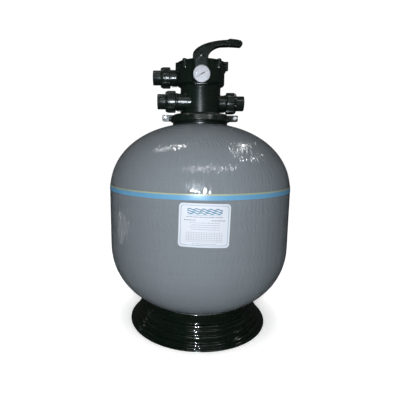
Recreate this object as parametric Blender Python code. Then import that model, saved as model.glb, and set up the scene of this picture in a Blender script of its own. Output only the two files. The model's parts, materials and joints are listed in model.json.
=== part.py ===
"""Top-mount sand filter tank for a swimming pool, as separate pieces at real size.

Units are metres and +Z is up. The origin is on the floor, under the axis of the tank.
The valve's front, with the pressure gauge, faces -Y, and its lever points to +X.
"""

import math

import bmesh
import bpy
from mathutils import Matrix, Vector
from mathutils.geometry import interpolate_bezier

GAP = 0.0003  # left between neighbouring pieces
FIT = 0.0004  # radial clearance of pieces that turn or slide in each other
SHARP_ANGLE = math.radians(35.0)
TRIM = 0.0010  # by which joined shapes run past a face before they are cut flush with it

# Tank: a cylinder between two domed heads, each a superellipse of revolution.
TANK_R = 0.3008
TANK_WALL = 0.0060
TANK_BOTTOM_Z = 0.0503
LOWER_SEAM_Z = 0.2836
UPPER_SEAM_Z = 0.4554
TANK_TOP_Z = 0.6826
LOWER_POWER = 2.197
UPPER_POWER = 2.145
TANK_SIDES = 36
OUTER_STEPS = 7
INNER_STEPS = 5
NECK_HOLE_R = 0.0765

# Band and label: thin films on the tank's wall.
FILM = 0.0005
BAND_Z = (0.4651, 0.4815)
LABEL_ARC = (-0.0680, 0.0680)  # arc lengths from the front line, positive towards +X
LABEL_Z = (0.3400, 0.4570)
LABEL_CORNER_R = 0.0100
LABEL_TILT = math.radians(-1.5)
LABEL_COLUMNS = 8

# Base: a moulded skirt of round steps, open underneath.
BASE_RIM_R = 0.2374
BASE_RIM_H = 0.0040
BASE_EDGES = ((0.2271, 0.0145), (0.2151, 0.0324), (0.2056, 0.0467), (0.1975, 0.0588), (0.1843, 0.0785))
BASE_DRAFT = 0.0009
BASE_TREAD_RISE = 0.0012
BASE_SEAT = ((0.1815, 0.0885), (0.1775, 0.0862))
BASE_INSIDE = ((0.1795, 0.0600), (0.2200, 0.0060), (0.2200, 0.0))

# Neck flange, bonded into the tank's opening.
NECK_BORE_R = 0.0660
NECK_SLEEVE_R = 0.0760
NECK_SLEEVE_Z = 0.6580
COLLAR_R = 0.0915
COLLAR_TOP_Z = 0.6805
GROOVE_R = 0.0850
LIP_R = 0.0905
NECK_LIP_Z = (0.6880, 0.6945)
VALVE_LIP_Z = (0.6970, 0.7035)
FLANGE_SEAL_R = (0.0740, 0.0820)

# Clamp: two half bands with lugs, drawn together by two bolts along Y.
CLAMP_OUTSIDE = ((0.0955, 0.6835), (0.0990, 0.6865), (0.0932, 0.7043), (0.0875, 0.7085))
CLAMP_GRIP_R = 0.0856
CLAMP_GROOVE_R = 0.0910
CLAMP_SPLIT = 0.0015
LUG_X = (0.0916, 0.1260)
LUG_Z = (0.6875, 0.7075)
LUG_DEPTH = 0.0095
BOLT_X = 0.1165
BOLT_Z = 0.6985
BOLT_R = 0.0040
BOLT_LENGTH = 0.0330
HEX_FLATS = 0.0130
HEX_HEIGHT = 0.0060
BOLT_FLANGE_R = 0.0088
BOLT_FLANGE_H = 0.0015

# Valve body.
BODY_NECK_TOP_Z = 0.7095
BARREL_R = 0.0660
BOWL_R = 0.0780
BOWL_TOP_Z = 0.8660
BOWL_FLARE = ((0.0660, 0.7975), (0.0750, 0.8010), (0.0780, 0.8045))
BOWL_BORE_R = 0.0690
PLATE_Z = (0.7980, 0.8060)
BARREL_BORE_R = 0.0590
WINDOW_R = 0.0110
WINDOW_CIRCLE_R = 0.0400
WINDOW_COUNT = 6
CENTRE_WINDOW_R = 0.0160
BODY_SIDES = 24

# Ports: pump inlet high on the left, pool return low on the left, waste low on the right.
PORT_R = 0.0262
PORT_BORE_R = 0.0200
PORTS = {
    "pump": {"side": -1, "face": 0.1125, "y": 0.0350, "z": 0.8340, "root": 0.0400},
    "return": {"side": -1, "face": 0.0930, "y": -0.0320, "z": 0.7465, "root": 0.0200},
    "waste": {"side": 1, "face": 0.0965, "y": 0.0000, "z": 0.7463, "root": 0.0400},
}
TAIL_R = 0.02415
TAIL_END = 0.0470
TAIL_COLLAR_R = 0.0262
TAIL_COLLAR = (0.0030, 0.0080)
NUT_R = 0.0350
NUT_BORE_R = 0.0267
NUT_SPAN = (-0.0115, 0.0210)
NUT_LIP_Z = 0.0084
NUT_RIBS = 8
NUT_RIB_DEPTH = 0.0030
UNION_SEAL_R = (0.0212, 0.0236)

# Lid, its eight screws and its seal.
LID_Z = 0.8663
LID_R = 0.0800
LID_OUTSIDE = ((0.0800, 0.8713), (0.0690, 0.8745), (0.0550, 0.8786), (0.0310, 0.8835))
LID_TOP_Z = LID_OUTSIDE[-1][1]
SHAFT_BOSS_R = 0.0180
SHAFT_BOSS_Z = 0.8680
LID_INSIDE = ((0.0180, 0.8775), (0.0500, 0.8735), (0.0610, 0.8680))
SPIGOT_R = (0.0610, 0.0660)
SPIGOT_Z = 0.8600
BOSS_R = 0.0070
BOSS_CIRCLE_R = 0.0765
BOSS_Z = (0.8490, 0.8752)
SCREW_COUNT = 8
SCREW_R = 0.0024
SCREW_HEAD_R = 0.0046
SCREW_HEAD_SINK = 0.0025
SCREW_HEAD_H = 0.0032
SCREW_TIP_Z = 0.8520
LID_PAD_Z = 0.8702
INDEX_TAB = ((0.0740, -0.0080, 0.8669), (0.0892, 0.0080, 0.8785))
INDEX_LUG = ((0.0740, -0.0080, 0.8512), (0.0892, 0.0080, 0.8690))

# Rotor, its shaft and what is stacked on it.
GASKET_T = 0.0020
GASKET_R = 0.0660
ROTOR_R = 0.0640
ROTOR_T = 0.0095
ROTOR_CONE_TOP_Z = 0.8300
SHAFT_R = 0.0085
SHAFT_TOP_Z = 0.9005
SPRING_R = 0.0140
SPRING_WIRE_R = 0.0019
SPRING_TURNS = 4
WASHER_T = 0.0020
WASHER_R = 0.0200
FRICTION_WASHER_R = 0.0290

# Handle: a lever whose heel is a cam that lifts the rotor as the lever is pressed.
CAM_ARM = 0.0155
CAM_R = 0.0085
HEEL_X = -0.0270
HANDLE_HALF_WIDTH = (0.0165, 0.0125)  # at the heel and at the grip
GRIP_X = (0.0870, 0.1338)
POCKET = (0.0135, 0.0094, 0.0115)
PIN_R = 0.0030

# Gauge on the boss at the valve's front, facing -Y.
GAUGE_Z = 0.8180
GAUGE_X = -0.0030
GAUGE_BOSS_HALF = 0.0260
GAUGE_BOSS_Y = -0.0840
GAUGE_BOSS_Z = 0.7930
GAUGE_BACK_Y = -0.0940
GAUGE_R = 0.0260
GAUGE_DEPTH = 0.0220
GAUGE_WALL = 0.0020
DIAL_DEPTH = 0.0110
NEEDLE_DEPTH = 0.0150
LENS_DEPTH = 0.0185
NEEDLE_ZERO = math.radians(31.0)  # below level, on the left
STEM_R = 0.0050

# Underdrain and diffuser inside the tank.
PIPE_R = 0.0241
PIPE_BORE_R = 0.0205
PIPE_Z = (0.1510, 0.7960)
HUB_R = 0.0360
HUB_Z = (0.1150, 0.1505)
HUB_RIB_END_R = 0.0540
HUB_RIB_WIDTH = 0.0080
LATERAL_COUNT = 8
LATERAL_Z = 0.1325
LATERAL_PIVOT_R = 0.0460
LATERAL_BALL_R = 0.0095
LATERAL_R = 0.0080
LATERAL_END_R = 0.2100
DIFFUSER_R = 0.0600
DIFFUSER_Z = (0.6400, 0.6920)

WASHER_Z = LID_TOP_Z + GAP
CAM_Z = WASHER_Z + WASHER_T + GAP
PIN_Z = CAM_Z + CAM_R
ROTOR_Z = PLATE_Z[1] + GASKET_T + 2 * GAP


def clear_scene():
    for item in list(bpy.data.objects):
        bpy.data.objects.remove(item, do_unlink=True)


def finish(name, colour, roughness, metallic=0.0):
    """A Principled material with the piece's plain colour."""
    material = bpy.data.materials.new(name)
    material.use_nodes = True
    shader = material.node_tree.nodes["Principled BSDF"]
    shader.inputs["Base Color"].default_value = (*colour, 1.0)
    shader.inputs["Roughness"].default_value = roughness
    shader.inputs["Metallic"].default_value = metallic
    return material


def add_object(name, shape, material, location=(0, 0, 0), rotation=(0, 0, 0)):
    """Turns a bmesh into a named object, closed and facing out."""
    bmesh.ops.recalc_face_normals(shape, faces=shape.faces)
    mesh = bpy.data.meshes.new(name)
    shape.to_mesh(mesh)
    shape.free()
    mesh.shade_smooth()
    mesh.set_sharp_from_angle(angle=SHARP_ANGLE)
    item = bpy.data.objects.new(name, mesh)
    item.location = location
    item.rotation_euler = rotation
    bpy.context.scene.collection.objects.link(item)
    if material:
        mesh.materials.append(material)
    else:
        item.hide_render = True
        item.display_type = "WIRE"
    return item


def spun(profile, sides):
    """A profile of (radius, height) turned round Z: it is closed, or both its ends are on the axis."""
    shape = bmesh.new()
    points = [shape.verts.new((radius, 0.0, height)) for radius, height in profile]
    edges = [shape.edges.new(pair) for pair in zip(points, points[1:])]
    if profile[0][0] > 0.0:
        edges.append(shape.edges.new((points[-1], points[0])))
    bmesh.ops.spin(
        shape,
        geom=points + edges,
        cent=(0, 0, 0),
        axis=(0, 0, 1),
        angle=2 * math.pi,
        steps=sides,
        use_merge=True,
    )
    bmesh.ops.remove_doubles(shape, verts=shape.verts, dist=1e-6)
    return shape


def turned(name, profile, sides, material, location=(0, 0, 0), rotation=(0, 0, 0)):
    return add_object(name, spun(profile, sides), material, location, rotation)


def ring(inner, outer, low, high):
    """The profile of a plain ring."""
    return [(inner, low), (outer, low), (outer, high), (inner, high)]


def seal_profile(inner, outer, low, high):
    """The profile of a soft seal squeezed between two faces: a trapezium, wider at its foot."""
    draft = (outer - inner) / 6
    return [(inner, low), (outer, low), (outer - draft, high), (inner + draft, high)]


def add_rod(shape, start, end, radius, sides):
    start = Vector(start)
    along = Vector(end) - start
    place = Matrix.Translation(start + along / 2) @ along.to_track_quat("Z", "Y").to_matrix().to_4x4()
    bmesh.ops.create_cone(
        shape,
        cap_ends=True,
        segments=sides,
        radius1=radius,
        radius2=radius,
        depth=along.length,
        matrix=place,
    )


def add_block(shape, low, high):
    low = Vector(low)
    high = Vector(high)
    place = Matrix.Translation((low + high) / 2) @ Matrix.Diagonal((*(high - low), 1.0))
    bmesh.ops.create_cube(shape, size=1.0, matrix=place)


def tool(name, rods=(), blocks=(), sides=12):
    """A hidden object of rods and blocks that a Boolean adds or cuts."""
    shape = bmesh.new()
    for start, end, radius in rods:
        add_rod(shape, start, end, radius, sides)
    for low, high in blocks:
        add_block(shape, low, high)
    return add_object(name, shape, None)


def combine(item, other, operation):
    modifier = item.modifiers.new(other.name, "BOOLEAN")
    modifier.operation = operation
    modifier.solver = "EXACT"
    modifier.object = other


def around(radius, angle, height=0.0):
    return Vector((radius * math.cos(angle), radius * math.sin(angle), height))


def head_point(radius, rise, power, angle):
    """A point of a domed head, at an angle from its seam to its pole."""
    return radius * math.cos(angle) ** (2 / power), rise * math.sin(angle) ** (2 / power)


def upper_head_z(radius):
    angle = math.acos((radius / TANK_R) ** (UPPER_POWER / 2))
    return UPPER_SEAM_Z + head_point(TANK_R, TANK_TOP_Z - UPPER_SEAM_Z, UPPER_POWER, angle)[1]


def wall_radius(height):
    """The tank's outer radius at a height between its lower seam and its top."""
    if height <= UPPER_SEAM_Z:
        return TANK_R
    share = (height - UPPER_SEAM_Z) / (TANK_TOP_Z - UPPER_SEAM_Z)
    angle = math.asin(share ** (UPPER_POWER / 2))
    return head_point(TANK_R, 1.0, UPPER_POWER, angle)[0]


def tank_surface(inset, steps):
    """The profile of one side of the wall, from the bottom pole to the neck hole."""
    radius = TANK_R - inset
    points = []
    drop = LOWER_SEAM_Z - TANK_BOTTOM_Z - inset
    for step in range(steps, -1, -1):
        reach, depth = head_point(radius, drop, LOWER_POWER, math.pi / 2 * step / steps)
        points.append((reach if step < steps else 0.0, LOWER_SEAM_Z - depth))
    rise = TANK_TOP_Z - UPPER_SEAM_Z - inset
    last = math.acos((NECK_HOLE_R / radius) ** (UPPER_POWER / 2))
    for step in range(steps + 1):
        reach, height = head_point(radius, rise, UPPER_POWER, last * step / steps)
        points.append((reach, UPPER_SEAM_Z + height))
    return points


def make_tank(gelcoat):
    outside = tank_surface(0.0, OUTER_STEPS)
    inside = tank_surface(TANK_WALL, INNER_STEPS)
    turned("tank_shell", outside + inside[::-1], TANK_SIDES, gelcoat)


def make_band(material):
    heights = (BAND_Z[0], BAND_Z[1])
    inner = [(wall_radius(z) + GAP, z) for z in heights]
    outer = [(wall_radius(z) + GAP + FILM, z) for z in reversed(heights)]
    turned("tank_band", inner + outer, TANK_SIDES, material)


def label_edge(arc):
    """How far the label's rounded corner cuts in from its lower and upper edges at an arc length."""
    near = min(arc - LABEL_ARC[0], LABEL_ARC[1] - arc)
    if near >= LABEL_CORNER_R:
        return 0.0
    return LABEL_CORNER_R - math.sqrt(LABEL_CORNER_R**2 - (LABEL_CORNER_R - near) ** 2)


def make_label(material):
    """A rectangle with rounded corners, wrapped on the wall and set slightly askew."""
    corner_steps = [LABEL_CORNER_R * share for share in (0.04, 0.3, 1.0)]
    middle = (LABEL_ARC[0] + LABEL_ARC[1]) / 2
    inner_span = LABEL_ARC[1] - LABEL_ARC[0] - 2 * LABEL_CORNER_R
    arcs = [LABEL_ARC[0] + step for step in corner_steps]
    arcs += [arcs[-1] + inner_span * column / LABEL_COLUMNS for column in range(1, LABEL_COLUMNS)]
    arcs += [LABEL_ARC[1] - step for step in reversed(corner_steps)]
    shape = bmesh.new()
    loops = []
    for arc in arcs:
        askew = math.tan(LABEL_TILT) * (arc - middle)
        cut = label_edge(arc)
        corners = []
        for radius in (TANK_R + GAP, TANK_R + GAP + FILM):
            for height in (LABEL_Z[0] + cut, LABEL_Z[1] - cut):
                corners.append(around(radius, arc / TANK_R - math.pi / 2, height + askew))
        low_in, high_in, low_out, high_out = (shape.verts.new(corner) for corner in corners)
        loops.append((low_in, high_in, high_out, low_out))
    for first, second in zip(loops, loops[1:]):
        for side in range(4):
            after = (side + 1) % 4
            shape.faces.new((first[side], first[after], second[after], second[side]))
    shape.faces.new(loops[0])
    shape.faces.new(loops[-1])
    add_object("rating_label", shape, material)


def make_base(material):
    profile = [(BASE_RIM_R, 0.0), (BASE_RIM_R, BASE_RIM_H)]
    for radius, height in BASE_EDGES:
        profile.append((radius + BASE_DRAFT, profile[-1][1] + BASE_TREAD_RISE))
        profile.append((radius, height))
    profile += BASE_SEAT
    profile += BASE_INSIDE
    turned("base_stand", profile, TANK_SIDES, material)


def make_neck(plastic, rubber):
    profile = [
        (NECK_BORE_R, NECK_SLEEVE_Z),
        (NECK_SLEEVE_R, NECK_SLEEVE_Z),
        (NECK_SLEEVE_R, upper_head_z(NECK_SLEEVE_R) + GAP),
        (COLLAR_R, upper_head_z(COLLAR_R) + GAP),
        (COLLAR_R, COLLAR_TOP_Z),
        (GROOVE_R, COLLAR_TOP_Z),
        (GROOVE_R, NECK_LIP_Z[0]),
        (LIP_R, NECK_LIP_Z[0]),
        (LIP_R, NECK_LIP_Z[1]),
        (NECK_BORE_R, NECK_LIP_Z[1]),
    ]
    turned("neck_flange", profile, BODY_SIDES, plastic)
    seal = seal_profile(*FLANGE_SEAL_R, NECK_LIP_Z[1] + GAP, VALVE_LIP_Z[0] - GAP)
    turned("flange_oring", seal, BODY_SIDES, rubber)


def make_clamp(plastic):
    low, high = CLAMP_OUTSIDE[0][1], CLAMP_OUTSIDE[-1][1]
    profile = [
        (CLAMP_GRIP_R, low),
        *CLAMP_OUTSIDE,
        (CLAMP_GRIP_R, high),
        (CLAMP_GRIP_R, VALVE_LIP_Z[1] + FIT),
        (CLAMP_GROOVE_R, VALVE_LIP_Z[1] + FIT),
        (CLAMP_GROOVE_R, NECK_LIP_Z[0] - FIT),
        (CLAMP_GRIP_R, NECK_LIP_Z[0] - FIT),
    ]
    reach = 2 * LUG_X[1]
    for name, side in (("clamp_front", -1), ("clamp_back", 1)):
        half = turned(name, profile, BODY_SIDES, plastic)
        lug_y = sorted((side * CLAMP_SPLIT / 2, side * LUG_DEPTH))
        lugs = [
            ((LUG_X[0], lug_y[0], LUG_Z[0]), (LUG_X[1], lug_y[1], LUG_Z[1])),
            ((-LUG_X[1], lug_y[0], LUG_Z[0]), (-LUG_X[0], lug_y[1], LUG_Z[1])),
        ]
        other_y = sorted((side * CLAMP_SPLIT, -side * reach))
        other_half = ((-reach, other_y[0], low - reach), (reach, other_y[1], high + reach))
        holes = [
            ((x, -reach, BOLT_Z), (x, reach, BOLT_Z), BOLT_R + GAP) for x in (BOLT_X, -BOLT_X)
        ]
        combine(half, tool(name + "_lugs", blocks=lugs), "UNION")
        combine(half, tool(name + "_split", blocks=[other_half]), "DIFFERENCE")
        combine(half, tool(name + "_holes", rods=holes), "DIFFERENCE")


def make_clamp_bolts(steel):
    """The right bolt's flanged head is at the front, and the left bolt's nut is."""
    hex_corner = HEX_FLATS / 2 / math.cos(math.pi / 6)
    for name, x, front in (("right", BOLT_X, -1), ("left", -BOLT_X, 1)):
        under = front * (LUG_DEPTH + GAP)
        flange = Vector((x, under, BOLT_Z)), Vector((x, under + front * BOLT_FLANGE_H, BOLT_Z))
        top = Vector((x, under + front * HEX_HEIGHT, BOLT_Z))
        tip = Vector((x, under - front * BOLT_LENGTH, BOLT_Z))
        shape = bmesh.new()
        add_rod(shape, flange[0].lerp(top, 0.5), tip, BOLT_R, 12)
        bolt = add_object("clamp_bolt_" + name, shape, steel)
        combine(bolt, tool("bolt_flange_" + name, rods=[(*flange, BOLT_FLANGE_R)]), "UNION")
        head = [(flange[0].lerp(flange[1], 0.5), top, hex_corner)]
        combine(bolt, tool("bolt_head_" + name, rods=head, sides=6), "UNION")
        nut_seat = Vector((x, -under, BOLT_Z))
        shape = bmesh.new()
        add_rod(shape, nut_seat, nut_seat - Vector((0, front * HEX_HEIGHT, 0)), hex_corner, 6)
        nut = add_object("clamp_nut_" + name, shape, steel)
        thread = ((x, -1.0, BOLT_Z), (x, 1.0, BOLT_Z), BOLT_R + GAP)
        combine(nut, tool("nut_thread_" + name, rods=[thread]), "DIFFERENCE")


def screw_angles():
    return [2 * math.pi * index / SCREW_COUNT for index in range(SCREW_COUNT)]


def window_tool(name):
    """The openings of the port plate: one in the centre and a circle of six."""
    rods = [((0, 0, PLATE_Z[0] - 0.01), (0, 0, PLATE_Z[1] + 0.01), CENTRE_WINDOW_R)]
    for index in range(WINDOW_COUNT):
        foot = around(WINDOW_CIRCLE_R, 2 * math.pi * index / WINDOW_COUNT, PLATE_Z[0] - 0.01)
        rods.append((foot, foot + Vector((0, 0, 0.028)), WINDOW_R))
    return tool(name, rods=rods)


def make_valve_body(plastic):
    outline = [
        (0.0, VALVE_LIP_Z[0]),
        (LIP_R, VALVE_LIP_Z[0]),
        (LIP_R, VALVE_LIP_Z[1]),
        (GROOVE_R, VALVE_LIP_Z[1]),
        (GROOVE_R, BODY_NECK_TOP_Z),
        (BARREL_R, BODY_NECK_TOP_Z),
        *BOWL_FLARE,
        (BOWL_R, BOWL_TOP_Z + 3 * TRIM),
        (0.0, BOWL_TOP_Z + 3 * TRIM),
    ]
    body = turned("valve_body", outline, BODY_SIDES, plastic)
    barrels, bores = [], []
    for port in PORTS.values():
        face = Vector((port["side"] * port["face"], port["y"], port["z"]))
        root = Vector((port["side"] * port["root"], port["y"], port["z"]))
        beyond = face + Vector((port["side"] * 0.01, 0, 0))
        barrels.append((root, face, PORT_R))
        bores.append((root, beyond, PORT_BORE_R))
    bosses = [
        (around(BOSS_CIRCLE_R, a, BOSS_Z[0]), around(BOSS_CIRCLE_R, a, BOWL_TOP_Z + TRIM), BOSS_R)
        for a in screw_angles()
    ]
    holes = [
        (around(BOSS_CIRCLE_R, a, SCREW_TIP_Z - 0.001), around(BOSS_CIRCLE_R, a, 0.9), SCREW_R + GAP)
        for a in screw_angles()
    ]
    gauge_boss = (
        (GAUGE_X - GAUGE_BOSS_HALF, GAUGE_BOSS_Y, GAUGE_BOSS_Z),
        (GAUGE_X + GAUGE_BOSS_HALF, -BARREL_R / 2, BOWL_TOP_Z + 2 * TRIM),
    )
    above = ((-LUG_X[1], -LUG_X[1], BOWL_TOP_Z), (LUG_X[1], LUG_X[1], BOWL_TOP_Z + 0.05))
    stem = (GAUGE_X, GAUGE_BOSS_Y - 0.01, GAUGE_Z), (GAUGE_X, -0.05, GAUGE_Z), STEM_R + GAP
    chambers = [
        ((0, 0, PLATE_Z[1]), (0, 0, BOWL_TOP_Z + 0.01), BOWL_BORE_R),
        ((0, 0, VALVE_LIP_Z[0] - 0.01), (0, 0, PLATE_Z[0]), BARREL_BORE_R),
    ]
    combine(body, tool("body_gauge_boss", blocks=[gauge_boss]), "UNION")
    combine(body, tool("body_index_lug", blocks=[INDEX_LUG]), "UNION")
    combine(body, tool("body_bosses", rods=bosses, sides=8), "UNION")
    combine(body, tool("body_ports", rods=barrels, sides=16), "UNION")
    combine(body, tool("body_above", blocks=[above]), "DIFFERENCE")
    combine(body, tool("body_chambers", rods=chambers, sides=BODY_SIDES), "DIFFERENCE")
    combine(body, window_tool("body_windows"), "DIFFERENCE")
    combine(body, tool("body_port_bores", rods=bores, sides=16), "DIFFERENCE")
    combine(body, tool("body_screw_holes", rods=holes, sides=8), "DIFFERENCE")
    combine(body, tool("body_stem_hole", rods=[stem], sides=8), "DIFFERENCE")


def make_lid(plastic, rubber):
    profile = [
        (SHAFT_R + FIT, SHAFT_BOSS_Z),
        (SHAFT_BOSS_R, SHAFT_BOSS_Z),
        *LID_INSIDE,
        (SPIGOT_R[0], SPIGOT_Z),
        (SPIGOT_R[1], SPIGOT_Z),
        (SPIGOT_R[1], LID_Z),
        (LID_R, LID_Z),
        *LID_OUTSIDE,
        (SHAFT_R + FIT, LID_TOP_Z),
    ]
    lid = turned("valve_lid", profile, BODY_SIDES, plastic)
    bosses, holes, sinks = [], [], []
    for angle in screw_angles():
        foot = around(BOSS_CIRCLE_R, angle, LID_Z + TRIM / 2)
        top = around(BOSS_CIRCLE_R, angle, BOSS_Z[1])
        bosses.append((foot, top, BOSS_R))
        holes.append((foot - Vector((0, 0, 0.01)), top + Vector((0, 0, 0.01)), SCREW_R + GAP))
        sink = top - Vector((0, 0, SCREW_HEAD_SINK))
        sinks.append((sink, top + Vector((0, 0, 0.01)), SCREW_HEAD_R + 2 * GAP))
    pad = (
        (GAUGE_X - GAUGE_BOSS_HALF, GAUGE_BOSS_Y, LID_Z + TRIM / 4),
        (GAUGE_X + GAUGE_BOSS_HALF, -SPIGOT_R[1] - 0.004, LID_PAD_Z),
    )
    combine(lid, tool("lid_bosses", rods=bosses, sides=8), "UNION")
    combine(lid, tool("lid_pad", blocks=[pad]), "UNION")
    combine(lid, tool("lid_index_tab", blocks=[INDEX_TAB]), "UNION")
    combine(lid, tool("lid_screw_holes", rods=holes, sides=8), "DIFFERENCE")
    combine(lid, tool("lid_screw_sinks", rods=sinks, sides=8), "DIFFERENCE")
    seal = seal_profile(SPIGOT_R[1] + GAP, BOWL_BORE_R - GAP, SPIGOT_Z + 0.001, SPIGOT_Z + 0.0036)
    turned("lid_oring", seal, BODY_SIDES, rubber)


def make_lid_screws(steel):
    under = BOSS_Z[1] - SCREW_HEAD_SINK + GAP
    profile = [
        (0.0, SCREW_TIP_Z),
        (SCREW_R, SCREW_TIP_Z + SCREW_R),
        (SCREW_R, under),
        (SCREW_HEAD_R, under),
        (SCREW_HEAD_R, under + SCREW_HEAD_H / 2),
        (0.0, under + SCREW_HEAD_H),
    ]
    for number, angle in enumerate(screw_angles(), start=1):
        turned(f"lid_screw_{number}", profile, 8, steel, around(BOSS_CIRCLE_R, angle))


def make_rotor(plastic, rubber):
    low = PLATE_Z[1] + GAP
    gasket = turned("spider_gasket", [(0.0, low), (GASKET_R, low), (GASKET_R, low + GASKET_T), (0.0, low + GASKET_T)], BODY_SIDES, rubber)
    combine(gasket, window_tool("gasket_windows"), "DIFFERENCE")
    profile = [
        (0.0, ROTOR_Z),
        (ROTOR_R, ROTOR_Z),
        (ROTOR_R, ROTOR_Z + ROTOR_T),
        (0.0240, ROTOR_Z + ROTOR_T),
        (SHAFT_R + 0.0020, ROTOR_CONE_TOP_Z),
        (SHAFT_R, ROTOR_CONE_TOP_Z),
        (SHAFT_R, SHAFT_TOP_Z),
        (0.0, SHAFT_TOP_Z),
    ]
    rotor = turned("rotor", profile, BODY_SIDES, plastic)
    passage = around(WINDOW_CIRCLE_R, math.pi)
    above = Vector((0, 0, ROTOR_Z + ROTOR_T + 0.01))
    below = Vector((0, 0, ROTOR_Z - 0.01))
    combine(rotor, tool("rotor_passage", rods=[(passage + below, passage + above, WINDOW_R)]), "DIFFERENCE")
    pocket_y = WINDOW_R
    pocket = ((0.0, -pocket_y, ROTOR_Z - 0.01), (WINDOW_CIRCLE_R + WINDOW_R, pocket_y, ROTOR_Z + ROTOR_T / 2))
    combine(rotor, tool("rotor_pocket", blocks=[pocket]), "DIFFERENCE")
    pin_hole = ((0, -0.02, PIN_Z), (0, 0.02, PIN_Z), PIN_R + GAP)
    combine(rotor, tool("rotor_pin_hole", rods=[pin_hole], sides=8), "DIFFERENCE")


def make_spring(steel):
    """An open helix of round wire between the rotor and the upper washer."""
    low = ROTOR_CONE_TOP_Z + SPRING_WIRE_R + GAP
    high = SHAFT_BOSS_Z - WASHER_T - 2 * GAP - SPRING_WIRE_R
    curve = bpy.data.curves.new("rotor_spring", "CURVE")
    curve.dimensions = "3D"
    curve.bevel_depth = SPRING_WIRE_R
    curve.bevel_resolution = 1
    curve.use_fill_caps = True
    steps = SPRING_TURNS * 10
    line = curve.splines.new("POLY")
    line.points.add(steps)
    for index, point in enumerate(line.points):
        share = index / steps
        place = around(SPRING_R, 2 * math.pi * SPRING_TURNS * share, low + (high - low) * share)
        point.co = (*place, 1.0)
    spring = bpy.data.objects.new("rotor_spring", curve)
    spring.data.materials.append(steel)
    bpy.context.scene.collection.objects.link(spring)


def make_shaft_stack(plastic, steel, rubber):
    """The washer over the spring, the slip washer under the handle and the shaft's seal."""
    bore = SHAFT_R + FIT
    top = SHAFT_BOSS_Z - GAP
    turned("spring_washer", ring(bore, WASHER_R, top - WASHER_T, top), 16, steel)
    turned("friction_washer", ring(bore, FRICTION_WASHER_R, WASHER_Z, WASHER_Z + WASHER_T), 24, plastic)
    low = top - WASHER_T - GAP - 0.0024
    turned("shaft_oring", seal_profile(SHAFT_R + GAP, SHAFT_R + 0.0027, low, low + 0.0022), 12, rubber)


def handle_outline():
    """The lever's side view: heel, cam, arm and grip, as (x, z)."""
    cam = [
        (CAM_ARM + CAM_R * math.sin(turn), PIN_Z - CAM_R * math.cos(turn))
        for turn in (math.radians(step) for step in range(0, 91, 15))
    ]
    grip_low = (GRIP_X[0], 0.9275)
    under = interpolate_bezier(
        Vector((*cam[-1], 0)), Vector((0.0240, 0.9085, 0)), Vector((0.0420, 0.9265, 0)), Vector((0.0700, 0.9275, 0)), 8
    )
    under.append(Vector((*grip_low, 0)))
    tip = [(0.1276, 0.9254), (0.1325, 0.9295), (GRIP_X[1], 0.9350), (0.1315, 0.9405), (0.1262, 0.9440), (0.1110, 0.9468)]
    step_up = [(GRIP_X[0] + 0.0035, 0.9487), (GRIP_X[0] + 0.0010, 0.9475), (GRIP_X[0], 0.9446)]
    heel_top = (HEEL_X, 0.9025)
    over = interpolate_bezier(
        Vector((*step_up[-1], 0)), Vector((0.0250, 0.9425, 0)), Vector((-0.0190, 0.9240, 0)), Vector((*heel_top, 0)), 9
    )
    outline = [(HEEL_X, CAM_Z)] + cam
    outline += [(point.x, point.y) for point in under[1:]]
    outline += tip
    outline += step_up
    outline += [(point.x, point.y) for point in over[1:]]
    return outline


def handle_half_width(x):
    """Tapers in a straight line from heel to grip, so that each cheek stays flat."""
    share = (x - HEEL_X) / (GRIP_X[1] - HEEL_X)
    return HANDLE_HALF_WIDTH[0] + (HANDLE_HALF_WIDTH[1] - HANDLE_HALF_WIDTH[0]) * share


def make_handle(plastic, steel):
    shape = bmesh.new()
    loop = [shape.verts.new((x, 0.0, z - PIN_Z)) for x, z in handle_outline()]
    face = shape.faces.new(loop)
    extruded = bmesh.ops.extrude_face_region(shape, geom=[face])["geom"]
    far = {item for item in extruded if isinstance(item, bmesh.types.BMVert)}
    for vert in shape.verts:
        side = 1.0 if vert in far else -1.0
        vert.co.y = side * handle_half_width(vert.co.x)
    handle = add_object("handle", shape, plastic, (0, 0, PIN_Z))
    half_x, half_y, rise = POCKET
    pocket = ((-half_x, -half_y, PIN_Z - 2 * CAM_R), (half_x, half_y, PIN_Z + rise))
    pin_hole = ((0, -0.03, PIN_Z), (0, 0.03, PIN_Z), PIN_R + GAP)
    combine(handle, tool("handle_pocket", blocks=[pocket]), "DIFFERENCE")
    combine(handle, tool("handle_pin_hole", rods=[pin_hole], sides=8), "DIFFERENCE")
    shape = bmesh.new()
    half_pin = HANDLE_HALF_WIDTH[0] + 0.0004
    add_rod(shape, (0, -half_pin, PIN_Z), (0, half_pin, PIN_Z), PIN_R, 8)
    add_object("handle_pin", shape, steel)


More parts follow.
